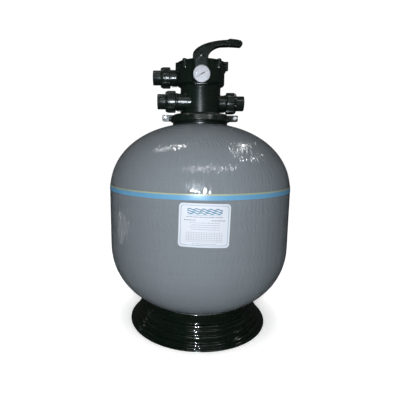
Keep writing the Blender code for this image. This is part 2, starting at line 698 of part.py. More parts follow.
def make_gauge(plastic, brass, paper, red, glass):
    """Local Z of each turned piece runs from the gauge's back to its front."""
    place = (GAUGE_X, GAUGE_BACK_Y, GAUGE_Z)
    facing = (math.pi / 2, 0, 0)
    inner = GAUGE_R - GAUGE_WALL
    case = [
        (0.0, 0.0),
        (GAUGE_R - 0.002, 0.0),
        (GAUGE_R, 0.002),
        (GAUGE_R, GAUGE_DEPTH),
        (inner, GAUGE_DEPTH),
        (inner, DIAL_DEPTH - 0.001),
        (0.0, DIAL_DEPTH - 0.001),
    ]
    turned("gauge_case", case, BODY_SIDES, plastic, place, facing)
    dial_low = DIAL_DEPTH - 0.001 + GAP
    dial = [(0.0, dial_low), (inner - GAP, dial_low), (inner - GAP, DIAL_DEPTH), (0.0, DIAL_DEPTH)]
    turned("gauge_dial", dial, BODY_SIDES, paper, place, facing)
    lens = [(0.0, LENS_DEPTH), (inner - GAP, LENS_DEPTH), (inner - GAP, LENS_DEPTH + 0.0015), (0.0, LENS_DEPTH + 0.0020)]
    turned("gauge_lens", lens, BODY_SIDES, glass, place, facing)
    tip, tail, half = 0.0175, 0.0070, 0.0007
    outline = ((tip, 0.0), (0.0, 0.0022), (-tail, half), (-tail, -half), (0.0, -0.0022))
    shape = bmesh.new()
    loop = [shape.verts.new((-along, across, 0.0)) for along, across in outline]
    face = shape.faces.new(loop)
    extruded = bmesh.ops.extrude_face_region(shape, geom=[face])["geom"]
    far = [item for item in extruded if isinstance(item, bmesh.types.BMVert)]
    bmesh.ops.translate(shape, verts=far, vec=(0, 0, 0.0006))
    bmesh.ops.rotate(shape, verts=shape.verts, cent=(0, 0, 0), matrix=Matrix.Rotation(NEEDLE_ZERO, 3, "Z"))
    needle_at = (GAUGE_X, GAUGE_BACK_Y - NEEDLE_DEPTH, GAUGE_Z)
    add_object("gauge_needle", shape, red, needle_at, facing)
    front, back = GAUGE_BACK_Y + GAP, GAUGE_BOSS_Y - GAP
    shape = bmesh.new()
    add_rod(shape, (GAUGE_X, back, GAUGE_Z), (GAUGE_X, front, GAUGE_Z), 0.0081, 6)
    stem = add_object("gauge_stem", shape, brass)
    thread = ((GAUGE_X, front + 0.003, GAUGE_Z), (GAUGE_X, -0.0720, GAUGE_Z), STEM_R)
    combine(stem, tool("stem_thread", rods=[thread], sides=8), "UNION")


def fluted(shape):
    """Sets every third outer corner back, which leaves the nut's grip ribs."""
    step = 2 * math.pi / (NUT_RIBS * 3)
    for vert in shape.verts:
        radius = math.hypot(vert.co.x, vert.co.y)
        index = round(math.atan2(vert.co.y, vert.co.x) / step) % 3
        if radius > NUT_BORE_R + 0.002 and index == 2:
            scale = (radius - NUT_RIB_DEPTH) / radius
            vert.co.x *= scale
            vert.co.y *= scale
    return shape


def make_union(name, port, plastic, rubber):
    """Tail, nut and seal of one port. Local Z runs outwards from the port's face."""
    place = (port["side"] * port["face"], port["y"], port["z"])
    facing = (0, port["side"] * math.pi / 2, 0)
    tail = [
        (PORT_BORE_R, TAIL_COLLAR[0]),
        (TAIL_COLLAR_R, TAIL_COLLAR[0]),
        (TAIL_COLLAR_R, TAIL_COLLAR[1]),
        (TAIL_R, TAIL_COLLAR[1]),
        (TAIL_R, TAIL_END),
        (PORT_BORE_R, TAIL_END),
    ]
    turned("union_tail_" + name, tail, 16, plastic, place, facing)
    nut = [
        (NUT_BORE_R, NUT_SPAN[0]),
        (NUT_R, NUT_SPAN[0]),
        (NUT_R, NUT_SPAN[1] - 0.006),
        (NUT_R - 0.0035, NUT_SPAN[1]),
        (TAIL_R + FIT, NUT_SPAN[1]),
        (TAIL_R + FIT, NUT_LIP_Z),
        (NUT_BORE_R, NUT_LIP_Z),
    ]
    shape = fluted(spun(nut, NUT_RIBS * 3))
    add_object("union_nut_" + name, shape, plastic, place, facing)
    seal = seal_profile(*UNION_SEAL_R, GAP, TAIL_COLLAR[0] - GAP)
    turned("union_oring_" + name, seal, 12, rubber, place, facing)


def make_underdrain(plastic):
    turned("standpipe", ring(PIPE_BORE_R, PIPE_R, *PIPE_Z), 12, plastic)
    hub = turned("lateral_hub", [(0.0, HUB_Z[0]), (HUB_R, HUB_Z[0]), (HUB_R, HUB_Z[1]), (0.0, HUB_Z[1])], 16, plastic)
    well = ((0, 0, HUB_Z[0] + 0.006), (0, 0, HUB_Z[1] + 0.01), PIPE_BORE_R)
    combine(hub, tool("hub_well", rods=[well]), "DIFFERENCE")
    turn = 2 * math.pi / LATERAL_COUNT
    ribs = bmesh.new()
    for index in range(LATERAL_COUNT):
        before = set(ribs.verts)
        add_block(
            ribs,
            (HUB_R - 0.008, -HUB_RIB_WIDTH / 2, HUB_Z[0] + 0.004),
            (HUB_RIB_END_R, HUB_RIB_WIDTH / 2, HUB_Z[1] - 0.004),
        )
        added = [vert for vert in ribs.verts if vert not in before]
        swing = Matrix.Rotation(turn * (index + 0.5), 3, "Z")
        bmesh.ops.rotate(ribs, verts=added, cent=(0, 0, 0), matrix=swing)
    combine(hub, add_object("hub_ribs", ribs, None), "UNION")
    ball = [
        (LATERAL_BALL_R * math.sin(math.radians(angle)), -LATERAL_BALL_R * math.cos(math.radians(angle)))
        for angle in (0, 35, 70, 105, 122)
    ]
    length = LATERAL_END_R - LATERAL_PIVOT_R
    profile = ball + [(LATERAL_R, length - 0.003), (LATERAL_R - 0.003, length), (0.0, length)]
    profile[0] = (0.0, -LATERAL_BALL_R)
    for index in range(LATERAL_COUNT):
        pivot = around(LATERAL_PIVOT_R, turn * index, LATERAL_Z)
        turned(f"lateral_{index + 1}", profile, 8, plastic, pivot, (0, math.pi / 2, turn * index))


def make_diffuser(plastic):
    sleeve = PIPE_R + 0.0020
    profile = [
        (sleeve, DIFFUSER_Z[0]),
        (DIFFUSER_R, DIFFUSER_Z[0]),
        (DIFFUSER_R, DIFFUSER_Z[0] + 0.004),
        (sleeve + 0.003, DIFFUSER_Z[0] + 0.012),
        (sleeve + 0.003, DIFFUSER_Z[1]),
        (sleeve, DIFFUSER_Z[1]),
    ]
    turned("diffuser", profile, 16, plastic)


def main():
    clear_scene()
    grey = finish("grey_gelcoat", (0.22, 0.25, 0.28), 0.25)
    blue = finish("blue_film", (0.19, 0.45, 0.69), 0.4)
    white = finish("white_label", (0.74, 0.79, 0.86), 0.5)
    black = finish("black_plastic", (0.012, 0.014, 0.013), 0.3)
    inner = finish("inner_plastic", (0.5, 0.5, 0.48), 0.5)
    rubber = finish("black_rubber", (0.01, 0.01, 0.01), 0.7)
    steel = finish("stainless_steel", (0.6, 0.6, 0.6), 0.3, 1.0)
    brass = finish("brass", (0.6, 0.42, 0.18), 0.35, 1.0)
    paper = finish("dial_white", (0.8, 0.8, 0.8), 0.6)
    needle = finish("needle_black", (0.02, 0.02, 0.02), 0.5)
    glass = finish("clear_lens", (0.9, 0.9, 0.9), 0.05)
    make_base(black)
    make_tank(grey)
    make_band(blue)
    make_label(white)
    make_neck(black, rubber)
    make_clamp(black)
    make_clamp_bolts(steel)
    make_valve_body(black)
    make_lid(black, rubber)
    make_lid_screws(steel)
    make_rotor(inner, rubber)
    make_spring(steel)
    make_shaft_stack(inner, steel, rubber)
    make_handle(black, steel)
    make_gauge(black, brass, paper, needle, glass)
    for name, port in PORTS.items():
        make_union(name, port, black, rubber)
    make_underdrain(inner)
    make_diffuser(inner)


main()
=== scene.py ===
"""Looks of the sand filter tank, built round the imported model. Metres, +Z up, gauge towards -Y."""
import json
import math
import random

import bmesh
import bpy
from mathutils import Euler, Matrix, Vector
from mathutils.geometry import interpolate_bezier


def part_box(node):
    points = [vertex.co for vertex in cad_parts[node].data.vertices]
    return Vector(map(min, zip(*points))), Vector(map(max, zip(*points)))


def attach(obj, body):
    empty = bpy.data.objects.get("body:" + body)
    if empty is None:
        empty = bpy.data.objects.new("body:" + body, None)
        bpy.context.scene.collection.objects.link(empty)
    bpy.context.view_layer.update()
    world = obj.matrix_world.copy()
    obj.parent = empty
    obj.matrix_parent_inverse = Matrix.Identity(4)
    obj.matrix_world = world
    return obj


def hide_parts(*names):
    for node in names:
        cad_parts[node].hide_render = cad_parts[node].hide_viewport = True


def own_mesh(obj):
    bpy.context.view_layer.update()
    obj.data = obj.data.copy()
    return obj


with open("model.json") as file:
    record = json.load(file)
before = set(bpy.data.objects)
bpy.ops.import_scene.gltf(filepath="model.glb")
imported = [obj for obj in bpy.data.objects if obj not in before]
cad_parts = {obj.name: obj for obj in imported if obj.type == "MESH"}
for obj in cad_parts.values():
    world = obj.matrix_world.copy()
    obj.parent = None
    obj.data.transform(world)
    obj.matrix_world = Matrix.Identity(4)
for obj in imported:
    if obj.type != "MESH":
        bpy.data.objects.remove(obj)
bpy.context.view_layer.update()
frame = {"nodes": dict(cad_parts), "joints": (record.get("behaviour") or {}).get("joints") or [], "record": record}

GAP = 0.0003
FRONT = -math.pi / 2  # angle about Z of the tank's front line

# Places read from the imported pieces.
TANK_LOW, TANK_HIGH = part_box("tank_shell")
TANK_R = TANK_HIGH.x
BASE_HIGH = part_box("base_stand")[1]
NECK_LOW, NECK_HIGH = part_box("neck_flange")
CLAMP_LOW, CLAMP_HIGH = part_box("clamp_front")
BODY_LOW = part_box("valve_body")[0]
LID_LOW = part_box("valve_lid")[0]
HANDLE_LOW, HANDLE_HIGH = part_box("handle")
GAUGE_LOW, GAUGE_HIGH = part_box("gauge_case")
JOINTS = {joint["name"]: joint for joint in frame["joints"]}
PIN_Z = JOINTS["handle_press"]["pos_m"][2]

# Tank: two superellipse heads on a short cylinder.
TANK_WALL = 0.0060
LOWER_SEAM_Z = 0.2836
UPPER_SEAM_Z = 0.4554
TANK_TOP_Z = 0.6826
LOWER_POWER = 2.197
UPPER_POWER = 2.145
NECK_HOLE_R = 0.0765
WOUND_BANDS = 46
WOUND_RISE = 0.00010


# ---------------------------------------------------------------- shapes


def rounded(corners, steps=4, closed=True):
    """An outline of (x, y) or (x, y, radius) corners, with an arc at each corner that has a radius."""
    points = []
    count = len(corners)
    for index, corner in enumerate(corners):
        here = Vector(corner[:2])
        radius = corner[2] if len(corner) > 2 else 0.0
        if radius <= 0.0 or (not closed and index in (0, count - 1)):
            points.append(tuple(here))
            continue
        back = Vector(corners[index - 1][:2]) - here
        ahead = Vector(corners[(index + 1) % count][:2]) - here
        half = back.angle(ahead) / 2
        reach = min(radius / math.tan(half), 0.49 * back.length, 0.49 * ahead.length)
        radius = reach * math.tan(half)
        back.normalize()
        ahead.normalize()
        centre = here + (back + ahead).normalized() * (radius / math.sin(half))
        start = here + back * reach - centre
        turn = start.angle_signed(here + ahead * reach - centre)
        for step in range(steps + 1):
            points.append(tuple(centre + Matrix.Rotation(-turn * step / steps, 2) @ start))
    return points


def rectangle(left, right, low, high, radius, steps=4):
    corners = ((left, low), (right, low), (right, high), (left, high))
    return rounded([(*corner, radius) for corner in corners], steps)


def turned(profile, sides):
    """A bmesh turned round Z from (radius, height) points: closed, or with both ends on the axis."""
    shape = bmesh.new()
    points = [shape.verts.new((radius, 0.0, height)) for radius, height in profile]
    edges = [shape.edges.new(pair) for pair in zip(points, points[1:])]
    if profile[0][0] > 1e-6:
        edges.append(shape.edges.new((points[-1], points[0])))
    whole = points + edges
    bmesh.ops.spin(
        shape, geom=whole, cent=(0, 0, 0), axis=(0, 0, 1), angle=2 * math.pi, steps=sides, use_merge=True
    )
    bmesh.ops.remove_doubles(shape, verts=shape.verts, dist=1e-6)
    return shape


def add_rod(shape, start, end, radius, sides=48, end_radius=None):
    start = Vector(start)
    along = Vector(end) - start
    place = Matrix.Translation(start + along / 2) @ along.to_track_quat("Z", "Y").to_matrix().to_4x4()
    if end_radius is None:
        end_radius = radius
    bmesh.ops.create_cone(
        shape, cap_ends=True, segments=sides, radius1=radius, radius2=end_radius,
        depth=along.length, matrix=place,
    )


def add_block(shape, low, high, turn=None):
    low = Vector(low)
    high = Vector(high)
    place = Matrix.Translation((low + high) / 2) @ Matrix.Diagonal((*(high - low), 1.0))
    bmesh.ops.create_cube(shape, size=1.0, matrix=(turn @ place) if turn else place)


def add_loft(shape, rings, closed=False):
    """Rings of points joined in turn, with a face on each end, or with the last ring joined to the first."""
    made = [[shape.verts.new(point) for point in ring] for ring in rings]
    if closed:
        made.append(made[0])
    else:
        shape.faces.new(made[0][::-1])
        shape.faces.new(made[-1])
    for first, second in zip(made, made[1:]):
        for index in range(len(first)):
            after = (index + 1) % len(first)
            shape.faces.new((first[index], first[after], second[after], second[index]))


def add_slab(shape, outline, half_width):
    """A closed slab with an (x, z) outline. half_width(x) gives how far it reaches along Y each way."""
    add_loft(shape, [[(x, side * half_width(x), z) for x, z in outline] for side in (-1, 1)])


def add_column(shape, outline, low, high):
    """A closed upright column with an (x, y) outline."""
    add_loft(shape, [[(x, y, z) for x, y in outline] for z in (low, high)])


def around(radius, angle, height=0.0):
    return Vector((radius * math.cos(angle), radius * math.sin(angle), height))


def moved(shape, location, rotation=(0, 0, 0)):
    shape.transform(Matrix.Translation(location) @ Euler(rotation, "XYZ").to_matrix().to_4x4())
    return shape


def new_object(name, data):
    item = bpy.data.objects.new(name, data)
    bpy.context.scene.collection.objects.link(item)
    return item


def as_object(name, shape):
    bmesh.ops.recalc_face_normals(shape, faces=shape.faces)
    mesh = bpy.data.meshes.new(name)
    shape.to_mesh(mesh)
    shape.free()
    return new_object(name, mesh)


def dress(item, body, slot, nodes=(), look=None, sharp=38):
    """Shades a piece, gives it its finish and hangs it on its body in place of its plain nodes."""
    item.data.shade_smooth()
    item.data.set_sharp_from_angle(angle=math.radians(sharp))
    item.data.materials.clear()
    item.data.materials.append(FINISHES[look or slot])
    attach(item, body)
    if nodes:
        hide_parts(*nodes)


def moulded(name, shape, cell, passes, cuts=None):
    """Fuses overlapping closed shapes into one skin with softened edges, then cuts its bores."""
    raw = as_object(name + "_raw", shape)
    skin = raw.modifiers.new("fuse", "REMESH")
    skin.mode = "VOXEL"
    skin.voxel_size = cell
    soften = raw.modifiers.new("soften", "SMOOTH")
    soften.factor = 0.5
    soften.iterations = passes
    helpers = [raw]
    if cuts is not None:
        cutter = as_object(name + "_cuts", cuts)
        helpers.append(cutter)
        bore = raw.modifiers.new("bore", "BOOLEAN")
        bore.operation = "DIFFERENCE"
        bore.solver = "MANIFOLD"
        bore.object = cutter
    bpy.context.view_layer.update()
    made = raw.evaluated_get(bpy.context.evaluated_depsgraph_get())
    mesh = bpy.data.meshes.new_from_object(made)
    mesh.name = name
    item = new_object(name, mesh)
    for helper in helpers:
        bpy.data.objects.remove(helper, do_unlink=True)
    return item


# ---------------------------------------------------------------- finishes


def add_node(tree, kind, settings=(), **inputs):
    """A node with its settings and input values. An input given as a socket is wired."""
    made = tree.nodes.new(kind)
    for name, value in dict(settings).items():
        setattr(made, name, value)
    for name, value in inputs.items():
        numbered = name[0] == "i" and name[1:].isdigit()
        socket = made.inputs[int(name[1:]) if numbered else name.replace("_", " ")]
        if isinstance(value, bpy.types.NodeSocket):
            tree.links.new(value, socket)
        else:
            socket.default_value = value
    return made


def maths(tree, operation, first, second=0.0, third=0.0, clamp=False):
    settings = {"operation": operation, "use_clamp": clamp}
    return add_node(tree, "ShaderNodeMath", settings, i0=first, i1=second, i2=third).outputs[0]


def noise(tree, place, scale, detail, **more):
    made = add_node(tree, "ShaderNodeTexNoise", Vector=place, Scale=scale, Detail=detail, **more)
    return made.outputs["Fac"]


def stretched(tree, place, by):
    made = add_node(tree, "ShaderNodeVectorMath", {"operation": "MULTIPLY"}, i0=place, i1=by)
    return made.outputs[0]


def mix_colour(tree, share, first, second):
    made = tree.nodes.new("ShaderNodeMix")
    made.data_type = "RGBA"
    for socket, value in ((made.inputs[0], share), (made.inputs[6], first), (made.inputs[7], second)):
        if isinstance(value, bpy.types.NodeSocket):
            tree.links.new(value, socket)
        else:
            socket.default_value = (*value, 1.0) if isinstance(value, tuple) and len(value) == 3 else value
    return made.outputs[2]


def effect_group(name, inputs, outputs):
    """An empty node group with float inputs {name: default}, and its input and output nodes."""
    tree = bpy.data.node_groups.new(name, "ShaderNodeTree")
    for label, value in inputs.items():
        socket = tree.interface.new_socket(name=label, in_out="INPUT", socket_type="NodeSocketFloat")
        socket.default_value = value
    for label in outputs:
        tree.interface.new_socket(name=label, in_out="OUTPUT", socket_type="NodeSocketFloat")
    return tree, tree.nodes.new("NodeGroupInput"), tree.nodes.new("NodeGroupOutput")


def object_place(tree):
    return tree.nodes.new("ShaderNodeTexCoord").outputs["Object"]


def moulded_skin_group():
    """Fine mould grain over a slow ripple."""
    inputs = {"Grain Scale": 900.0, "Grain": 0.3, "Ripple": 0.4, "Ripple Scale": 38.0}
    tree, given, result = effect_group("moulded_skin", inputs, ["Height"])
    place = object_place(tree)
    grain = noise(tree, place, given.outputs["Grain Scale"], 2.0)
    ripple = noise(tree, place, given.outputs["Ripple Scale"], 1.0)
    fine = maths(tree, "MULTIPLY", grain, given.outputs["Grain"])
    slow = maths(tree, "MULTIPLY", ripple, given.outputs["Ripple"])
    tree.links.new(maths(tree, "ADD", fine, slow), result.inputs["Height"])
    return tree


def rubbed_edge_group():
    """Finds the outer edges that hands and floors rub, broken up by noise."""
    tree, given, result = effect_group("rubbed_edge", {"Amount": 0.5, "Start": 0.53}, ["Mask"])
    edge = tree.nodes.new("ShaderNodeNewGeometry").outputs["Pointiness"]
    past = maths(tree, "SUBTRACT", edge, given.outputs["Start"])
    ramp = maths(tree, "MULTIPLY", past, 14.0, clamp=True)
    patch = noise(tree, object_place(tree), 90.0, 4.0)
    broken = maths(tree, "MULTIPLY_ADD", patch, 3.0, -1.0, clamp=True)
    both = maths(tree, "MULTIPLY", ramp, broken)
    tree.links.new(maths(tree, "MULTIPLY", both, given.outputs["Amount"]), result.inputs["Mask"])
    return tree


def settled_dust_group():
    """Dust lies on faces that look up, in patches."""
    tree, given, result = effect_group("settled_dust", {"Amount": 0.3, "Patch Scale": 24.0}, ["Mask"])
    normal = tree.nodes.new("ShaderNodeNewGeometry").outputs["Normal"]
    up = add_node(tree, "ShaderNodeSeparateXYZ", Vector=normal).outputs["Z"]
    facing = maths(tree, "MULTIPLY_ADD", up, 1.4, -0.4, clamp=True)
    patch = noise(tree, object_place(tree), given.outputs["Patch Scale"], 5.0)
    patches = maths(tree, "MULTIPLY_ADD", patch, 2.4, -0.7, clamp=True)
    both = maths(tree, "MULTIPLY", facing, patches)
    tree.links.new(maths(tree, "MULTIPLY", both, given.outputs["Amount"]), result.inputs["Mask"])
    return tree


def smear_group():
    """Wiped marks and finger grease, as a slow change of gloss."""
    tree, given, result = effect_group("smear", {"Scale": 12.0, "Stretch": 3.0, "Amount": 0.5}, ["Value"])
    stretch = add_node(tree, "ShaderNodeCombineXYZ", X=1.0, Y=1.0, Z=given.outputs["Stretch"])
    place = stretched(tree, object_place(tree), stretch.outputs[0])
    marks = noise(tree, place, given.outputs["Scale"], 4.0, Distortion=0.4)
    level = maths(tree, "MULTIPLY_ADD", marks, 2.0, -0.7, clamp=True)
    tree.links.new(maths(tree, "MULTIPLY", level, given.outputs["Amount"]), result.inputs["Value"])
    return tree


def winding_group():
    """Crossing helical strands and hoop turns under the gelcoat, with fibres and an orange-peel skin."""
    inputs = {"Strands": 135.0, "Slope": 72.0, "Peel": 0.15, "Fibres": 1.5}
    tree, given, result = effect_group("winding", inputs, ["Height", "Tone"])
    place = object_place(tree)
    parts = add_node(tree, "ShaderNodeSeparateXYZ", Vector=place)
    angle = maths(tree, "ARCTAN2", parts.outputs["Y"], parts.outputs["X"])
    wander = maths(tree, "MULTIPLY", noise(tree, place, 9.0, 3.0), 44.0)
    rise = maths(tree, "MULTIPLY", parts.outputs["Z"], given.outputs["Slope"])
    across = maths(tree, "MULTIPLY", angle, given.outputs["Strands"])
    strands = []
    for sign in (1.0, -1.0):
        climb = maths(tree, "MULTIPLY_ADD", rise, sign, wander)
        strands.append(maths(tree, "SINE", maths(tree, "ADD", across, climb)))
    crossing = maths(tree, "MAXIMUM", strands[0], strands[1])
    shown = maths(tree, "MULTIPLY_ADD", noise(tree, place, 46.0, 2.0), 3.4, -1.1, clamp=True)
    woven = maths(tree, "MULTIPLY", crossing, shown)
    hoops = noise(tree, stretched(tree, place, (4.0, 4.0, 170.0)), 1.0, 2.0)
    peel = noise(tree, place, 150.0, 1.0)
    fibres = noise(tree, stretched(tree, place, (1.0, 1.0, 0.14)), 105.0, 1.0)
    height = maths(tree, "MULTIPLY_ADD", woven, 0.45, maths(tree, "MULTIPLY", hoops, 0.16))
    height = maths(tree, "MULTIPLY_ADD", fibres, given.outputs["Fibres"], height)
    height = maths(tree, "ADD", height, maths(tree, "MULTIPLY", peel, given.outputs["Peel"]))
    tone = maths(tree, "MULTIPLY_ADD", woven, 0.10, maths(tree, "MULTIPLY_ADD", hoops, 0.30, 0.30))
    tree.links.new(height, result.inputs["Height"])
    tree.links.new(tone, result.inputs["Tone"])
    return tree


EFFECTS = {
    "skin": moulded_skin_group(),
    "edge": rubbed_edge_group(),
    "dust": settled_dust_group(),
    "smear": smear_group(),
    "winding": winding_group(),
}


def effect(tree, name, **inputs):
    made = tree.nodes.new("ShaderNodeGroup")
    made.node_tree = EFFECTS[name]
    for label, value in inputs.items():
        made.inputs[label.replace("_", " ")].default_value = value
    return made


def new_finish(name):
    material = bpy.data.materials.new(name)
    material.use_nodes = True
    return material, material.node_tree, material.node_tree.nodes["Principled BSDF"]


def put(tree, shader, label, value):
    tree.links.new(value, shader.inputs[label])


def raise_surface(tree, shader, height, strength, distance):
    bump = add_node(tree, "ShaderNodeBump", Strength=strength, Distance=distance, Height=height)
    put(tree, shader, "Normal", bump.outputs["Normal"])


def finish(name, colour, roughness, grain=(900.0, 0.3, 0.4), depth=0.00025, smear=(12.0, 0.12),
           edge=None, dust=None, tint=0.08, ior=1.5, ripple_scale=38.0):
    """A worn finish: its colour varies slightly, edges rub, dust settles, and gloss is uneven."""
    material, tree, shader = new_finish(name)
    shader.inputs["IOR"].default_value = ior
    tone = noise(tree, object_place(tree), 17.0, 3.0)
    darker = tuple(channel * (1.0 - 2.5 * tint) for channel in colour)
    lighter = tuple(min(1.0, channel * (1.0 + tint)) for channel in colour)
    shade = mix_colour(tree, tone, darker, lighter)
    gloss = effect(tree, "smear", Scale=smear[0], Amount=smear[1]).outputs["Value"]
    rough = maths(tree, "ADD", gloss, roughness)
    if edge:
        mask = effect(tree, "edge", Amount=edge[1]).outputs["Mask"]
        shade = mix_colour(tree, mask, shade, edge[0])
        rough = maths(tree, "MULTIPLY_ADD", mask, 0.25, rough)
    if dust:
        mask = effect(tree, "dust", Amount=dust[1]).outputs["Mask"]
        shade = mix_colour(tree, mask, shade, dust[0])
        rough = maths(tree, "MULTIPLY_ADD", mask, 0.5, rough)
    put(tree, shader, "Base Color", shade)
    put(tree, shader, "Roughness", rough)
    skin = effect(
        tree, "skin", Grain_Scale=grain[0], Grain=grain[1], Ripple=grain[2], Ripple_Scale=ripple_scale
    )
    raise_surface(tree, shader, skin.outputs["Height"], 1.0, depth)
    return material


def gelcoat_finish():
    """Grey gelcoat: glossy, with the winding showing through in the highlights."""
    material, tree, shader = new_finish("gelcoat_grey")
    wound = effect(tree, "winding")
    shade = mix_colour(tree, wound.outputs["Tone"], (0.172, 0.199, 0.223), (0.226, 0.258, 0.285))
    dust = effect(tree, "dust", Amount=0.10, Patch_Scale=9.0).outputs["Mask"]
    shade = mix_colour(tree, dust, shade, (0.36, 0.35, 0.32))
    put(tree, shader, "Base Color", shade)
    gloss = effect(tree, "smear", Scale=7.0, Stretch=1.6, Amount=0.05).outputs["Value"]
    put(tree, shader, "Roughness", maths(tree, "ADD", gloss, 0.055))
    raise_surface(tree, shader, wound.outputs["Height"], 1.0, 0.0006)
    return material


def metal_finish(name, colour, roughness, stretch):
    """Bright metal with fine turning or drawing lines along one direction."""
    material, tree, shader = new_finish(name)
    shader.inputs["Metallic"].default_value = 1.0
    lines = noise(tree, stretched(tree, object_place(tree), stretch), 1.0, 3.0)
    tarnish = effect(tree, "smear", Scale=60.0, Amount=1.0).outputs["Value"]
    dull = tuple(channel * 0.6 for channel in colour)
    put(tree, shader, "Base Color", mix_colour(tree, tarnish, colour, dull))
    put(tree, shader, "Roughness", maths(tree, "MULTIPLY_ADD", lines, 0.25, roughness))
    raise_surface(tree, shader, lines, 0.6, 0.0001)
    return material


def lens_finish():
    material, tree, shader = new_finish("gauge_lens_clear")
    shader.inputs["Base Color"].default_value = (0.92, 0.95, 0.97, 1.0)
    haze = effect(tree, "smear", Scale=70.0, Amount=0.08).outputs["Value"]
    put(tree, shader, "Alpha", maths(tree, "ADD", haze, 0.08))
    put(tree, shader, "Roughness", maths(tree, "ADD", haze, 0.03))
    return material


BASE_BLACK = (0.0022, 0.0076, 0.0037)
VALVE_BLACK = (0.0058, 0.0124, 0.0088)
GREY_DUST = (0.22, 0.22, 0.20)
RUBBED = (0.075, 0.085, 0.082)
FINISHES = {
    "gelcoat": gelcoat_finish(),
    "gloss_black": finish(
        "base_gloss_black", BASE_BLACK, 0.07, grain=(420.0, 0.05, 0.55), depth=0.0005, smear=(16.0, 0.05),
        edge=(RUBBED, 0.12), dust=(GREY_DUST, 0.01), ior=1.75, ripple_scale=85.0,
    ),
    "valve_black": finish(
        "valve_satin_black", VALVE_BLACK, 0.24, grain=(1300.0, 0.07, 0.4), smear=(22.0, 0.07),
        edge=(RUBBED, 0.4), dust=(GREY_DUST, 0.03),
    ),
    "nut_black": finish(
        "union_satin_black", VALVE_BLACK, 0.25, grain=(1100.0, 0.09, 0.4), smear=(30.0, 0.07),
        edge=(RUBBED, 0.5), dust=(GREY_DUST, 0.03),
    ),
    "gauge_black": finish(
        "gauge_bezel_black", (0.010, 0.011, 0.012), 0.28, grain=(1600.0, 0.3, 0.2), edge=(RUBBED, 0.5)
    ),
    "band_blue": finish(
        "band_blue", (0.130, 0.365, 0.600), 0.30, grain=(300.0, 0.2, 1.0), depth=0.0002,
        smear=(9.0, 0.16), tint=0.05,
    ),
    "band_cream": finish("band_pinstripe_cream", (0.40, 0.44, 0.30), 0.35, smear=(9.0, 0.16), tint=0.05),
    "label_film": finish(
        "label_film", (0.66, 0.71, 0.79), 0.34, grain=(260.0, 0.15, 0.6), depth=0.0002,
        smear=(10.0, 0.12), tint=0.02,
    ),
    "label_blue": finish("label_print_blue", (0.040, 0.210, 0.360), 0.4, tint=0.10),
    "label_grey": finish("label_print_grey", (0.20, 0.23, 0.30), 0.45, tint=0.15),
    "dial_face": finish("dial_white", (0.76, 0.81, 0.93), 0.5, tint=0.02, smear=(30.0, 0.1)),
    "dial_print": finish("dial_print_black", (0.03, 0.032, 0.04), 0.5),
    "needle_black": finish("needle_black", (0.02, 0.02, 0.022), 0.45),
    "rubber": finish(
        "seal_rubber", (0.008, 0.008, 0.008), 0.62, grain=(700.0, 0.5, 0.3), dust=(GREY_DUST, 0.1)
    ),
    "inner_plastic": finish("inner_plastic_white", (0.52, 0.52, 0.49), 0.42, dust=(GREY_DUST, 0.1)),
    "stainless": metal_finish("bolt_stainless", (0.50, 0.50, 0.49), 0.28, (900.0, 60.0, 900.0)),
    "brass": metal_finish("stem_brass", (0.56, 0.39, 0.16), 0.24, (900.0, 60.0, 900.0)),
    "lens": lens_finish(),
}


# ---------------------------------------------------------------- tank, band and label


def head_point(radius, rise, power, angle):
    return radius * math.cos(angle) ** (2 / power), rise * math.sin(angle) ** (2 / power)


def wall_radius(height):
    """The tank's outer radius at a height on the cylinder or the upper head."""
    if height <= UPPER_SEAM_Z:
        return TANK_R
    share = (height - UPPER_SEAM_Z) / (TANK_TOP_Z - UPPER_SEAM_Z)
    return head_point(TANK_R, 1.0, UPPER_POWER, math.asin(share ** (UPPER_POWER / 2)))[0]


def upper_head_z(radius):
    angle = math.acos((radius / TANK_R) ** (UPPER_POWER / 2))
    return UPPER_SEAM_Z + head_point(TANK_R, TANK_TOP_Z - UPPER_SEAM_Z, UPPER_POWER, angle)[1]


def tank_surface(inset, head_steps, wall_steps):
    """The profile of one side of the wall, from the bottom pole to the neck hole."""
    radius = TANK_R - inset
    drop = LOWER_SEAM_Z - TANK_LOW.z - inset
    points = [(0.0, LOWER_SEAM_Z - drop)]
    for step in range(head_steps - 1, 0, -1):
        reach, depth = head_point(radius, drop, LOWER_POWER, math.pi / 2 * step / head_steps)
        points.append((reach, LOWER_SEAM_Z - depth))
    for step in range(wall_steps + 1):
        points.append((radius, LOWER_SEAM_Z + (UPPER_SEAM_Z - LOWER_SEAM_Z) * step / wall_steps))
    rise = TANK_TOP_Z - UPPER_SEAM_Z - inset
    last = math.acos((NECK_HOLE_R / radius) ** (UPPER_POWER / 2))
    for step in range(1, head_steps + 1):
        reach, height = head_point(radius, rise, UPPER_POWER, last * step / head_steps)
        points.append((reach, UPPER_SEAM_Z + height))
    return points


def make_tank():
    """The wound shell. Broad helical bands of glass stand a tenth of a millimetre proud of each other."""
    profile = tank_surface(0.0, 48, 28) + tank_surface(TANK_WALL, 14, 4)[::-1]
    shape = turned(profile, 320)
    for vert in shape.verts:
        radius = math.hypot(vert.co.x, vert.co.y)
        if radius < 0.11:
            continue
        angle = math.atan2(vert.co.y, vert.co.x)
        climb = 7.0 * (vert.co.z - LOWER_SEAM_Z)
        bands = math.sin(WOUND_BANDS * angle + climb) + math.sin(WOUND_BANDS * angle - 1.3 * climb)
        fade = min(1.0, (radius - 0.11) / 0.08)
        scale = 1.0 + (bands - 2.0) / 2 * WOUND_RISE * fade / radius
        vert.co.x *= scale
        vert.co.y *= scale
    dress(as_object("tank_wound_shell", shape), "filter", "gelcoat", ["tank_shell"])


